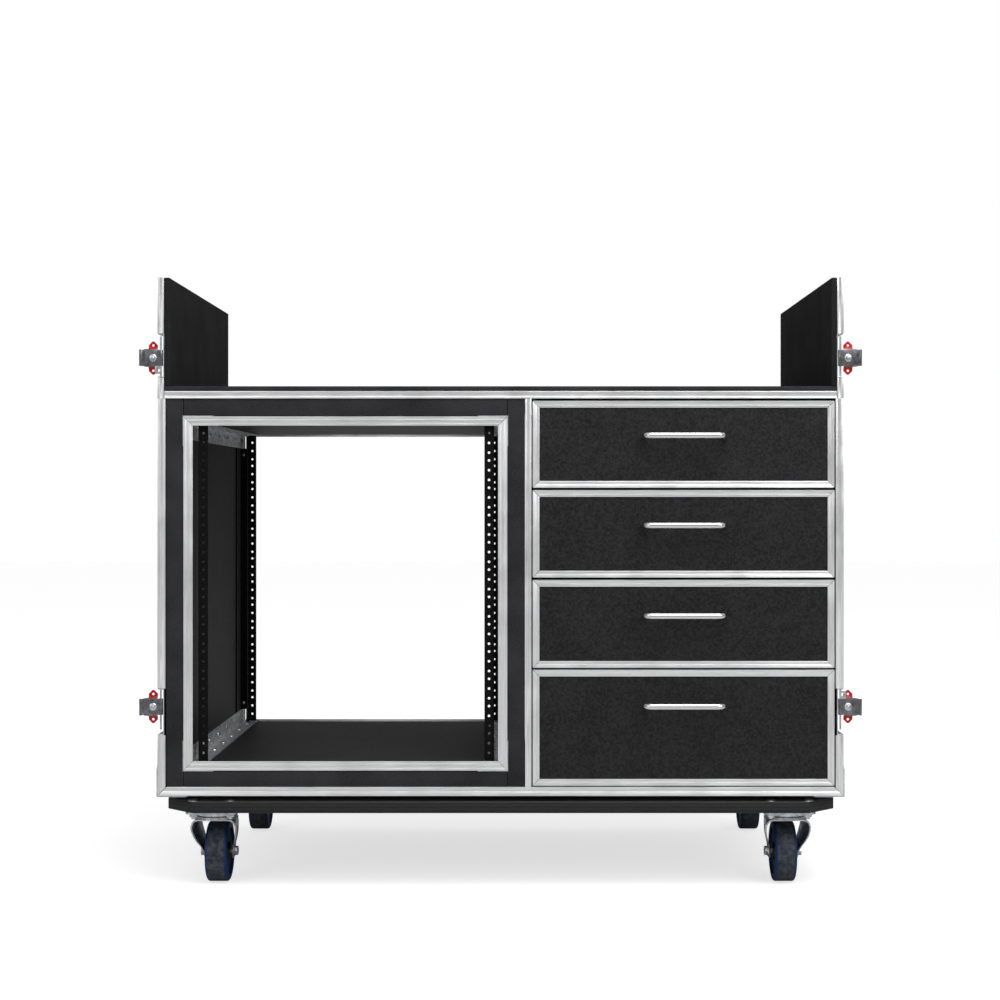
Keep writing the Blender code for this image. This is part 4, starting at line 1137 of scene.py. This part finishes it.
@dataclass
class RackBay(Assembly):
    """The rack sleeve's edging and straps, its perforated angles and the drilled rack rails."""

    face: float = 15 * MM
    edging_leg: float = 24.5 * MM
    angle_sheet: float = 2 * MM
    hole_radius: float = 4.2 * MM
    hole_pitch: float = 24 * MM
    hole_rows: tuple = (0.74, 0.34)
    first_hole: float = 0.6
    bolt: tuple = (4.6 * MM, 2.8 * MM)
    bolt_row: float = 0.53
    bolt_end: float = 0.052
    rail_face: float = 15.6 * MM
    rail_sheet: float = 2.0 * MM
    rail_leg: float = 28 * MM
    rail_hole: float = 2.1 * MM
    hole_span: float = 465.1 * MM
    unit: float = 44.45 * MM
    units: int = 12
    unit_holes: tuple = (6.35 * MM, 22.225 * MM, 38.1 * MM)
    wall_strip: float = 55 * MM
    wall_gap: float = 0.1 * MM
    strip_end: float = 0.5 * MM
    strip_bolt: tuple = (3.6 * MM, 2.2 * MM)
    strip_bolt_end: float = 12 * MM
    strap_leg: float = 48 * MM
    strap_sheet: float = 1.3 * MM
    strap_depths: tuple = (0.6 * MM, 24 * MM)

    def build(self) -> None:
        """Build the edging, straps, angles, rails and fasteners."""
        for word, facing in ENDS.items():
            self._frame(
                f"sleeve_edging_{word}",
                facing,
                face=self.face,
                outer_leg=self.edging_leg,
                grooves=((0.24, 0.06), (0.72, 0.08)),
            )
        self._corner_straps()
        for x_word, x_way in SIDES.items():
            for z_word, z_way in LEVELS.items():
                self._angle(f"mount_angle_{z_word}_{x_word}", x_way, z_way)
        for x_word, x_way in SIDES.items():
            for y_word, look in ENDS.items():
                node = f"rack_rail_{y_word}_{x_word}"
                rail = self._rail(node, x_way, look)
                if look > 0:
                    self._wall_strip(rail, x_word, x_way)
                soften(rail, 0.35 * MM, 1)
                self.finishes.dress(rail, "powder", node)

    def _corner_straps(self) -> None:
        """Model the thin steel straps bent round the sleeve's four front corners, pressed in the foam."""
        lowest, highest = low("sleeve_edging_front"), high("sleeve_edging_front")
        y0, y1 = (lowest.y + depth for depth in self.strap_depths)
        straps = []
        for x, x_way in ((lowest.x, -1), (highest.x, 1)):
            for z, z_way in ((lowest.z, -1), (highest.z, 1)):
                out_x, out_z = x + x_way * self.strap_sheet, z + z_way * self.strap_sheet
                upright = block("strap", (x, y0, out_z), (out_x, y1, z - z_way * self.strap_leg))
                level = block("strap", (out_x, y0, z), (x - x_way * self.strap_leg, y1, out_z))
                carve(upright, level, "UNION")
                soften(upright, 0.4 * MM)
                straps.append(upright)
        self.finishes.dress(merge("sleeve_corner_straps", straps), "zinc")

    def _angle(self, node: str, x_way: int, z_way: int) -> None:
        """Model one angle in its corner, with two staggered rows of holes in each leg, and its bolts."""
        lowest, highest = low(node), high(node)
        leg, sheet = highest.x - lowest.x, self.angle_sheet
        corner_x = highest.x if x_way > 0 else lowest.x
        corner_z = highest.z if z_way > 0 else lowest.z
        inner_x, inner_z = corner_x - x_way * sheet, corner_z - z_way * sheet
        flat = block(node, (lowest.x, lowest.y, corner_z), (highest.x, highest.y, inner_z))
        wall = block("wall", (corner_x, lowest.y, lowest.z), (inner_x, highest.y, highest.z))
        carve(flat, wall, "UNION")
        holes = []
        for i in range(int((highest.y - lowest.y) / self.hole_pitch)):
            y, away = lowest.y + self.hole_pitch * (i + self.first_hole), leg * self.hole_rows[i % 2]
            places = (
                ((corner_x - x_way * away, y, corner_z), Grain.Z),
                ((corner_x, y, corner_z - z_way * away), Grain.X),
            )
            holes += [disc("hole", self.hole_radius, 3 * sheet, place, axis, 14) for place, axis in places]
        carve(flat, merge("holes", holes))
        soften(flat, 0.3 * MM, 1)
        flat.name = f"{node}_perforated"
        self.finishes.dress(flat, "galvanised", node)
        depths = spaced(lowest.y + self.bolt_end, highest.y - self.bolt_end, 6)
        away = leg * self.bolt_row
        on_floor = [(corner_x - x_way * away, y, inner_z) for y in depths]
        on_wall = [(inner_x, y + self.hole_pitch, corner_z - z_way * away) for y in depths]
        heads = [
            rivets("bolts", on_floor, (0, 0, -z_way), *self.bolt),
            rivets("bolts", on_wall, (-x_way, 0, 0), *self.bolt),
        ]
        self.finishes.dress(merge(f"{node}_bolts", heads), "zinc")

    def _rail(self, node: str, x_way: int, look: int) -> bpy.types.Object:
        """Model one angle rail, drilled in units of three holes.

        Args:
            node: the CAD rail that it stands for.
            x_way: -1 on the left of the bay, 1 on the right.
            look: -1 where its face looks to the front, 1 where it looks to the back.

        Returns:
            The rail, its leg towards the middle of the case's depth.
        """
        lowest, highest = low(node), high(node)
        inner, y = lowest.x if x_way > 0 else highest.x, face_y(node, look)
        rail = bar_between(
            f"{node}_drilled",
            (inner, y, lowest.z),
            (inner, y, highest.z),
            (x_way, 0, 0),
            (0, look, 0),
            face=self.rail_face,
            sheet=self.rail_sheet,
            outer_leg=self.rail_leg,
        )
        centre = (low("sleeve_edging_front") + high("sleeve_edging_front")) / 2
        x, base = centre.x + x_way * self.hole_span / 2, centre.z - self.units * self.unit / 2
        heights = [base + unit * self.unit + z for unit in range(self.units) for z in self.unit_holes]
        drills = [disc("drill", self.rail_hole, 4 * self.rail_sheet, (x, y, z), Grain.Y, 14) for z in heights]
        carve(rail, merge("drills", drills))
        return rail

    def _wall_strip(self, rail: bpy.types.Object, x_word: str, x_way: int) -> None:
        """Fold a rear rail on from its leg to the sleeve's wall and forward along it."""
        node = f"rack_rail_rear_{x_word}"
        below, above = f"mount_angle_lower_{x_word}", f"mount_angle_upper_{x_word}"
        seat = (high(below).x if x_way > 0 else low(below).x) - x_way * self.wall_gap
        leg = (high(node).x if x_way > 0 else low(node).x) - x_way * self.rail_sheet / 2
        fold = high(node).y - self.rail_leg
        z0, z1 = high(below).z + self.strip_end, low(above).z - self.strip_end
        rear = fold + self.rail_sheet
        web = block("web", (seat, fold, z0), (leg, rear, z1))
        flat = block("flat", (seat, fold - self.wall_strip, z0), (seat - x_way * self.rail_sheet, rear, z1))
        carve(web, flat, "UNION")
        carve(rail, web, "UNION")
        heights = z0 + self.strip_bolt_end, z1 - self.strip_bolt_end
        spots = [((seat + leg) / 2, fold, z) for z in heights]
        self._zinc_heads(f"{node}_bolts", spots, (0, -1, 0), *self.strip_bolt)


@dataclass
class Drawers(Assembly):
    """The four drawers' edging and handles; the boxes keep their CAD shape."""

    face: float = 11 * MM
    sheet: float = 1.2 * MM
    rod: float = 5 * MM
    bend: float = 12 * MM
    bend_steps: int = 10

    def build(self) -> None:
        """Build the four drawers."""
        for body in (f"drawer_{number}" for number in range(1, 5)):
            self.finishes.paint(f"{body}_box", "laminate")
            shape = {"face": self.face, "sheet": self.sheet, "grooves": ((0.42, 0.10),)}
            self._frame(f"{body}_edging", -1, body, **shape)
            self._handle(body)

    def _handle(self, body: str) -> None:
        """Model the bow handle: a circle extruded and spun round its two bends."""
        node = f"{body}_handle"
        lowest, highest = low(node), high(node)
        z = (lowest.z + highest.z) / 2
        x0, x1 = lowest.x + self.rod, highest.x - self.rod
        bend_y = lowest.y + self.rod + self.bend
        straight = bend_y - highest.y
        deselect()
        bpy.ops.mesh.primitive_circle_add(
            vertices=28,
            radius=self.rod,
            fill_type="NGON",
            location=(x0, highest.y, z),
            rotation=(math.pi / 2, 0, 0),
        )
        rod = bpy.context.object
        rod.name = f"{node}_rod"
        bpy.ops.object.transform_apply(location=True, rotation=True, scale=True)
        with editing(rod):
            draw_out(y=straight)
            self._spin(x0 + self.bend, bend_y, z)
            draw_out(x=x1 - x0 - 2 * self.bend)
            self._spin(x1 - self.bend, bend_y, z)
            draw_out(y=-straight)
            bpy.ops.mesh.select_all(action="SELECT")
            bpy.ops.mesh.remove_doubles(threshold=1e-6)
            bpy.ops.mesh.normals_make_consistent(inside=False)
        smooth(rod, 50)
        self.finishes.dress(rod, "stainless", node, body)

    def _spin(self, *centre: float) -> None:
        """Carry the selected end of the rod a quarter turn round a bend's centre."""
        bpy.ops.mesh.spin(steps=self.bend_steps, angle=-math.pi / 2, center=centre, axis=(0, 0, 1))


@dataclass
class CastorBoard(Assembly):
    """The plywood board under the case with the castors' top plates and bolts."""

    chamfer: float = 46 * MM
    plate_half: tuple = (42.5 * MM, 52.5 * MM)
    bolt_half: tuple = (30 * MM, 40 * MM)
    plate_sheet: float = 3 * MM
    board_rise: float = 18 * MM
    spacer_rise: float = 9.7 * MM
    spacer_xs: tuple = (-0.40, 0.0, 0.40)
    spacer_half: float = 30 * MM
    spacer_end: float = 0.08
    plate_round: float = 9 * MM
    race_radius: float = 33 * MM
    race_depth: float = 7.6 * MM
    race_drop: float = 6.8 * MM
    race_rim: float = 5 * MM
    race_hollow: float = 1.5 * MM
    bolt_head: tuple = (9.5 * MM, 3.2 * MM)
    nut_ends: tuple = ((7.2 * MM, 5.5 * MM, 6), (3.8 * MM, 9 * MM, 16))

    def build(self) -> None:
        """Build the board and its spacers, then the four plates with their races and bolts."""
        lowest, highest = low("castor_board"), high("castor_board")
        top = highest.z - self.spacer_rise
        under = top - self.board_rise
        board = block("castor_board_ply", (lowest.x, lowest.y, under), (highest.x, highest.y, top))
        self._round_corners(board, self.chamfer, 1)
        soften(board, 0.8 * MM)
        self.finishes.dress(board, "board", "castor_board")
        y0, y1, half = lowest.y + self.spacer_end, highest.y - self.spacer_end, self.spacer_half
        spacers = [block("spacer", (x - half, y0, top), (x + half, y1, highest.z)) for x in self.spacer_xs]
        strips = merge("board_spacers", spacers)
        soften(strips, 1 * MM)
        self.finishes.dress(strips, "board")
        for name, joint in JOINTS.items():
            if name.endswith("_swivel"):
                self._plate(joint["child"], Vector(joint["pos_m"]), under, top)

    def _round_corners(self, piece: bpy.types.Object, offset: float, segments: int) -> None:
        """Bevel the upright edges of a board or a plate."""
        with editing(piece):
            pick(piece, "EDGE", lambda a, b: abs(a.z - b.z) > 1 * MM)
            bpy.ops.mesh.bevel(offset=offset, segments=segments)

    def _plate(self, word: str, axis: Vector, under: float, top: float) -> None:
        """Model one top plate with rounded corners, its ball race and its four bolts.

        Args:
            word: the castor's body.
            axis: a point of its swivel axis.
            under: the height of the board's underside.
            top: the height of the board's top.
        """
        half_x, half_y = self.plate_half
        base = under - self.plate_sheet
        corner, opposite = ((axis.x + way * half_x, axis.y + way * half_y) for way in (-1, 1))
        plate = block("plate", (*corner, base), (*opposite, under))
        self._round_corners(plate, self.plate_round, 5)
        ease_edges(plate, 0.6 * MM)
        race_at = (axis.x, axis.y, under - self.race_drop)
        race = disc("race", self.race_radius, self.race_depth, race_at, Grain.Z)
        with editing(race):
            pick(race, "FACE", lambda mid, way: way.z < -0.9)
            bpy.ops.mesh.inset(thickness=self.race_rim)
            bpy.ops.transform.translate(value=(0, 0, self.race_hollow))
        soften(race, 1.4 * MM, 3)
        smooth(plate)
        self.finishes.dress(merge(f"{word}_top_plate", [plate, race]), "zinc")
        bolt_x, bolt_y = self.bolt_half
        spots = [(axis.x + i * bolt_x, axis.y + j * bolt_y) for i in (-1, 1) for j in (-1, 1)]
        heads = [(x, y, top) for x, y in spots]
        self._zinc_heads(f"{word}_board_bolts", heads, (0, 0, 1), *self.bolt_head)
        grip = merge(
            f"{word}_plate_nuts",
            [
                disc("nut", radius, depth, (x, y, base - depth / 2), Grain.Z, sides)
                for radius, depth, sides in self.nut_ends
                for x, y in spots
            ],
        )
        soften(grip, 0.5 * MM, 1)
        self.finishes.dress(grip, "zinc")


@dataclass
class Castor(Assembly):
    """One swivel castor: a pressed fork bowed round the wheel, the axle bolt, hub and tyre.

    Each of arm_rows is one bend of the fork in millimetres: how far out the sheet is, how much its
    front edge stands further out than its back edge, its height, and its front and back edge along Y.
    Each of crowns is a disc's radius, depth, height, rounding and the steps of that.
    """

    word: str
    sheet: float = 3 * MM
    trail: float = 38 * MM
    wheel_radius: float = 50 * MM
    wheel_half: float = 18 * MM
    hub_radius: float = 38.5 * MM
    hub_inset: float = 3.4 * MM
    tyre_round: float = 4.5 * MM
    tyre_step: tuple = (6.5 * MM, -4 * MM)
    hub_steps: tuple = ((4.5 * MM, -6 * MM), (20 * MM, 9 * MM))
    blue_band: float = 4.2 * MM
    shank: tuple = (5 * MM, 60 * MM)
    washer: tuple = (9 * MM, 1.4 * MM, 24.8 * MM)
    nut: tuple = (8.2 * MM, 5.4 * MM, 28.0 * MM)
    crowns: tuple = ((35, 5.2, 114.6, 1.6, 3), (36.6, 2.0, 112.8, 0.8, 2))
    arm_rows: tuple = (
        (22.5, 0.0, 38.5, 31.0, 45.0),
        (22.5, 0.0, 44.0, 26.0, 50.0),
        (22.8, 0.2, 52.0, 20.0, 53.0),
        (24.9, 1.2, 63.0, 6.0, 53.5),
        (28.6, 2.3, 73.0, -6.0, 52.0),
        (31.4, 3.1, 83.0, -16.0, 47.0),
        (33.0, 3.4, 93.0, -24.0, 41.0),
        (33.4, 3.0, 101.0, -29.0, 36.5),
        (31.8, 2.0, 107.5, -31.0, 33.5),
        (29.0, 0.8, 111.2, -32.0, 32.5),
        (25.0, 0.0, 112.5, -32.5, 32.0),
    )

    def build(self) -> None:
        """Build the fork, the axle and the wheel."""
        swivel = JOINTS[f"castor_{self.word}_swivel"]["pos_m"]
        self._fork(Vector((swivel[0], swivel[1], 0)))
        self._wheel(Vector(JOINTS[f"wheel_{self.word}_spin"]["pos_m"]))

    def _fork(self, origin: Vector) -> None:
        """Model the fork by extruding a strip from one axle end over the crown to the other."""
        right = [(Vector((x + toe, a, z)), Vector((x - toe, b, z))) for x, toe, z, a, b in self.arm_rows]
        left = [tuple(Vector((-end.x, end.y, end.z)) for end in row) for row in right]
        rows = [(origin + a * MM, origin + b * MM) for a, b in left + right[::-1]]
        body = f"castor_{self.word}"
        fork = strip_through(f"{body}_fork_shell", rows, self.sheet)
        ease_edges(fork, 0.9 * MM, 2, 50)
        smooth(fork, 40)
        parts = [fork]
        for radius, depth, height, edge, segments in self.crowns:
            place = origin + Vector((0, 0, height * MM))
            crown = disc("crown", radius * MM, depth * MM, place, Grain.Z, 56)
            soften(crown, edge * MM, segments)
            parts.append(crown)
        self.finishes.dress(merge(f"{body}_fork", parts), "zinc", f"castor_fork_{self.word}", body)
        centre = origin + Vector((0, self.trail, self.wheel_radius))
        parts = [disc("shank", *self.shank, centre, Grain.X, 24)]
        for way in (-1, 1):
            for name, (radius, depth, out), sides in (("washer", self.washer, 28), ("nut", self.nut, 6)):
                place = centre + Vector((way * out, 0, 0))
                parts.append(disc(name, radius, depth, place, Grain.X, sides))
            ease_edges(parts[-1], 0.6 * MM)
        axle = merge(f"{body}_axle", parts)
        smooth(axle)
        self.finishes.dress(axle, "zinc", body=body)

    def _wheel(self, centre: Vector) -> None:
        """Model the tyre and the hub from two cylinders, inset and extruded along the axle."""
        body = f"wheel_{self.word}"
        tyre = disc(f"{body}_tyre", self.wheel_radius, 2 * self.wheel_half, centre, Grain.X, 72)
        with editing(tyre):
            pick(tyre, "EDGE", lambda a, b: abs(a.x - b.x) < 1e-6)
            bpy.ops.mesh.bevel(offset=self.tyre_round, segments=4)
            self._sink_sides(tyre, self.tyre_step)
        smooth(tyre, 40)
        tyre.data.materials.clear()
        tyre.data.materials.append(self.finishes.made["tread"])
        tyre.data.materials.append(self.finishes.made["tyre_edge"])
        for face in tyre.data.polygons:
            if abs(face.center.x - centre.x) > self.wheel_half - self.blue_band:
                face.material_index = 1
        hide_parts(f"castor_wheel_{self.word}")
        settle(tyre, body)
        depth = 2 * (self.wheel_half - self.hub_inset)
        hub = disc(f"{body}_hub", self.hub_radius, depth, centre, Grain.X, 60)
        with editing(hub):
            self._sink_sides(hub, *self.hub_steps)
        soften(hub, 0.8 * MM, 2, 40)
        self.finishes.dress(hub, "nylon", body=body)

    def _sink_sides(self, piece: bpy.types.Object, *steps: tuple[float, float]) -> None:
        """Inset both flat sides of a disc and move them along the axle, outwards where above zero."""
        for way in (-1, 1):
            pick(piece, "FACE", lambda mid, normal: normal.x * way > 0.99)
            for inset, rise in steps:
                bpy.ops.mesh.inset(thickness=inset)
                draw_out(x=way * rise)


@dataclass
class ButterflyLatch(Assembly):
    """One butterfly latch: dish, hinged arm with its hook and rivet, and the red butterfly."""

    level: str
    word: str
    sheet: float = 1.6 * MM
    knuckle: float = 2.8 * MM
    knuckle_half: float = 13.2 * MM
    arm_half: float = 14.5 * MM
    neck: tuple = (4.4 * MM, 5.6 * MM)
    reach: float = 32.9 * MM
    hook: float = 4.2 * MM
    hook_half: float = 13.2 * MM
    rivet_out: float = 12.5 * MM
    rivet_head: float = 6.4 * MM
    head_rise: float = 1.5 * MM
    bead: tuple = (2.7 * MM, 1.3 * MM)
    bead_out: float = 1.1 * MM
    stem: tuple = (2.5 * MM, 5.2 * MM)
    tail_sheet: float = 1.1 * MM
    tail_in: float = 5.0 * MM
    ear_half: float = 27 * MM
    ear_width: float = 7.4 * MM
    ear_clip: float = 6.0 * MM
    ear_hole: float = 2.0 * MM
    ear_hole_at: float = 20.5 * MM
    ear_set: float = 3 * MM
    ear_bends: tuple = (0.1 * MM, 2.6 * MM)
    eye_drop: float = 11.3 * MM
    eye_x: tuple = (-2.2 * MM, 8.5 * MM)
    eye_hole: float = 2.5 * MM
    dish_sheet: float = 1.5 * MM
    pin_radius: float = 1.5 * MM

    def build(self) -> None:
        """Build the dish, the arm on its pin and the butterfly."""
        side = SIDES[self.word]
        self.label = f"{self.level}_{self.word}"
        self.pin_at = Vector(JOINTS[f"latch_{self.label}_swing"]["pos_m"])
        self._dish(side)
        turn = Matrix(((side, 0, 0, 0), (0, 0, 1, 0), (0, 1, 0, 0), (0, 0, 0, 1)))
        self._arm(Matrix.Translation(self.pin_at) @ turn)
        self._butterfly()

    def _arm(self, place: Matrix) -> None:
        """Model the arm: a strip curled round the pin, run out flat and curled into its hook.

        It is made along local X, with its width along Y and its front towards -Z, then placed.

        Args:
            place: takes that frame to the latch's pin.
        """
        body = f"latch_{self.label}"
        plate = -self.knuckle
        rows = [(x, z, self.knuckle_half) for x, z in arc_points((0, 0), self.knuckle, 20, 270, 10)]
        rows += [(self.neck[0], plate, self.knuckle_half), (self.neck[1], plate, self.arm_half)]
        rows.append((self.reach - 2 * self.hook, plate, self.arm_half))
        tip = arc_points((self.reach - self.hook, plate - self.hook), self.hook, 90, -80, 9)
        rows += [(x, z, self.hook_half) for x, z in tip]
        edges = [(Vector((x, -half, z)), Vector((x, half, z))) for x, z, half in rows]
        arm = strip_through(f"latch_arm_{self.label}_strip", edges, self.sheet)
        soften(arm, 0.35 * MM, 2, 40)
        self.finishes.dress(move_mesh(arm, place), "latch_steel", f"latch_arm_{self.label}", body)
        face, out = plate - self.sheet / 2, self.rivet_out
        head = rivets("head", [(out, 0, face)], (0, 0, -1), self.rivet_head, self.head_rise)
        bead = rivets("bead", [(out, 0, face - self.bead_out)], (0, 0, -1), *self.bead)
        stem = disc("stem", *self.stem, (out, 0, face + self.stem[1] / 2), Grain.Z, 20)
        tail_at = (out, 0, face + self.tail_in)
        tail = disc("tail", self.rivet_head, self.tail_sheet, tail_at, Grain.Z, 28)
        ease_edges(tail, 0.3 * MM)
        trims = [head, bead, stem, tail]
        if (self.word, self.level) in (("left", "upper"), ("right", "lower")):
            trims.append(self._lock_eye(face))
        bright = merge(f"latch_rivet_{self.label}", trims)
        smooth(bright, 40)
        self.finishes.dress(move_mesh(bright, place), "zinc", body=body)

    def _lock_eye(self, face: float) -> bpy.types.Object:
        """Model the tab for a padlock, drilled through, below the upper arm or above the lower one."""
        way = -LEVELS[self.level]
        (x0, x1), y0, y1 = self.eye_x, self.arm_half - 1.2 * MM, self.arm_half + self.eye_drop
        corner, opposite = (x0, way * y0, face - 0.1 * MM), (x1, way * y1, face + self.sheet - 0.2 * MM)
        tab = block("lock_eye", corner, opposite)
        centre = ((x0 + x1) / 2, way * (self.arm_half + self.eye_drop / 2), face)
        carve(tab, disc("drill", self.eye_hole, 6 * self.sheet, centre, Grain.Z, 24))
        ease_edges(tab, 0.3 * MM)
        return tab

    def _butterfly(self) -> None:
        """Model the butterfly: a blade with clipped corners, drilled ears set back past the arm."""
        node = f"latch_butterfly_{self.label}"
        lowest = low(node)
        centre = (lowest + high(node)) / 2
        x0, x1 = centre.x - self.ear_width, centre.x + self.ear_width
        z0, z1 = centre.z - self.ear_half, centre.z + self.ear_half
        blade = block(f"{node}_blade", (x0, lowest.y, z0), (x1, lowest.y + self.sheet, z1))
        with editing(blade):
            pick(blade, "EDGE", lambda a, b: abs(a.y - b.y) > 1 * MM)
            bpy.ops.mesh.bevel(offset=self.ear_clip, segments=1)
            for way in (-1, 1):
                for bend in self.ear_bends:
                    score((0, 0, centre.z + way * (self.arm_half + bend)), (0, 0, 1))
                beyond = self.arm_half + self.ear_bends[1] + 0.1 * MM
                pick(blade, "FACE", lambda mid, normal: way * (mid.z - centre.z) > beyond)
                bpy.ops.transform.translate(value=(0, self.ear_set, 0))
        y = lowest.y + self.ear_set
        spots = [(centre.x, y, centre.z + way * self.ear_hole_at) for way in (-1, 1)]
        drills = [disc("drill", self.ear_hole, 8 * self.sheet, spot, Grain.Y, 20) for spot in spots]
        carve(blade, merge("drills", drills))
        soften(blade, 0.35 * MM, 2, 40)
        self.finishes.dress(blade, "red", node, f"butterfly_{self.label}")

    def _dish(self, side: int) -> None:
        """Model the dish: a block hollowed by a pocket, open outwards and to the front, and its pin."""
        node = f"latch_dish_{self.label}"
        lowest, highest = low(node), high(node)
        sheet, past = self.dish_sheet, 5 * MM
        dish = block("dish", lowest, highest)
        inner_low = Vector((lowest.x + sheet, lowest.y - past, lowest.z + sheet))
        inner_high = Vector((highest.x + past, highest.y - sheet, highest.z - sheet))
        if side < 0:
            inner_low.x, inner_high.x = lowest.x - past, highest.x - sheet
        carve(dish, block("pocket", inner_low, inner_high))
        soften(dish, 0.5 * MM)
        pin = disc("pin", self.pin_radius, highest.z - lowest.z - sheet, self.pin_at, Grain.Z, 20)
        smooth(pin)
        self.finishes.dress(merge(f"{node}_pressing", [dish, pin]), "zinc", node)


@dataclass
class Studio:
    """Camera, pale floor and soft light."""

    camera_x: float = 38 * MM
    camera_z: float = 642 * MM
    distance: float = 3.015
    lens: float = 67.0
    sensor: float = 36.0
    shift: tuple = (-0.024, -0.004)
    floor_size: float = 30.0
    paper_glow: float = 0.68
    paper_tone: float = 0.62
    dark_side: float = 0.04
    bright_side: float = 0.66
    sky_level: float = 0.32
    sky_by_height: float = 0.60
    sky_by_depth: float = -0.26
    target: tuple = (0.0, 0.0, 0.6)
    panels: tuple = (
        ("overhead", (0.4, -1.1, 2.5), 1.8, 46.0),
        ("front_right", (2.6, -3.0, 2.6), 2.0, 40.0),
        ("front_left", (-2.8, -3.2, 1.9), 2.0, 18.0),
    )

    def build(self) -> None:
        """Set the camera, the floor and the lights."""
        self._camera()
        self._floor()
        self._room()
        self._lights()

    def _camera(self) -> None:
        """Stand the camera square to the front, at the photograph's height and distance."""
        data = bpy.data.cameras.new("camera")
        data.lens, data.sensor_width = self.lens, self.sensor
        data.shift_x, data.shift_y = self.shift
        camera = bpy.data.objects.new("camera", data)
        bpy.context.scene.collection.objects.link(camera)
        camera.location = (self.camera_x, low("bottom_front_rail").y - self.distance, self.camera_z)
        camera.rotation_euler = (math.pi / 2, 0, 0)
        bpy.context.scene.camera = camera

    def _floor(self) -> None:
        """Lay a pale paper floor, which the camera sees a little brighter than the light makes it."""
        deselect()
        bpy.ops.mesh.primitive_plane_add(size=1.0)
        floor = bpy.context.object
        floor.name = "studio_floor"
        floor.scale = (self.floor_size, self.floor_size, 1)
        bpy.ops.object.transform_apply(scale=True)
        paper = Surface.named("studio_paper")
        paper.constants(1.0, 0.0, base_color=grey(self.paper_tone), emission_color=grey(1.0))
        seen = add_node(paper.tree, "ShaderNodeLightPath").outputs["Is Camera Ray"]
        paper.link("Emission Strength", paper.calc("MULTIPLY", seen, self.paper_glow))
        floor.data.materials.append(paper.material)

    def _room(self) -> None:
        """Surround the case by a room that darkens below and behind it; the view of it stays white."""
        world = bpy.data.worlds.new("white_room")
        world.use_nodes = True
        room = Surface(world.node_tree)
        way = room.apart(add_node(room.tree, "ShaderNodeTexCoord").outputs["Generated"])
        above = room.calc("MULTIPLY_ADD", way["Z"], self.sky_by_height, self.sky_level)
        before = room.calc("MULTIPLY_ADD", way["Y"], self.sky_by_depth, above)
        tone = room.ramp(before, (0.0, self.dark_side), (1.0, self.bright_side))
        seen = add_node(room.tree, "ShaderNodeLightPath").outputs["Is Camera Ray"]
        background = room.tree.nodes["Background"]
        room.tree.links.new(room.mix(seen, tone, grey(1.0)), background.inputs["Color"])
        bpy.context.scene.world = world

    def _lights(self) -> None:
        """Light the case by large soft panels."""
        for name, place, size, power in self.panels:
            data = bpy.data.lights.new(name, "AREA")
            data.size = size
            data.energy = power
            lamp = bpy.data.objects.new(name, data)
            lamp.location = place
            lamp.rotation_euler = (Vector(self.target) - Vector(place)).to_track_quat("-Z", "Y").to_euler()
            bpy.context.scene.collection.objects.link(lamp)
        bpy.context.scene.view_settings.view_transform = "Standard"


def main() -> None:
    """Build the case in order."""
    logging.basicConfig(level=logging.INFO, format="%(message)s")
    Studio().build()
    finishes = Finishes()
    finishes.build()
    kinds = (Panels, EdgeExtrusions, FoamLining, RackBay, Drawers, CastorBoard)
    assemblies = [kind(finishes) for kind in kinds]
    assemblies += [Castor(finishes, f"{end}_{word}") for end in ENDS for word in SIDES]
    assemblies += [ButterflyLatch(finishes, level, word) for level in LEVELS for word in SIDES]
    for assembly in assemblies:
        log.info("building %s", type(assembly).__name__)
        assembly.build()
    deselect()


if __name__ == "__main__":
    main()
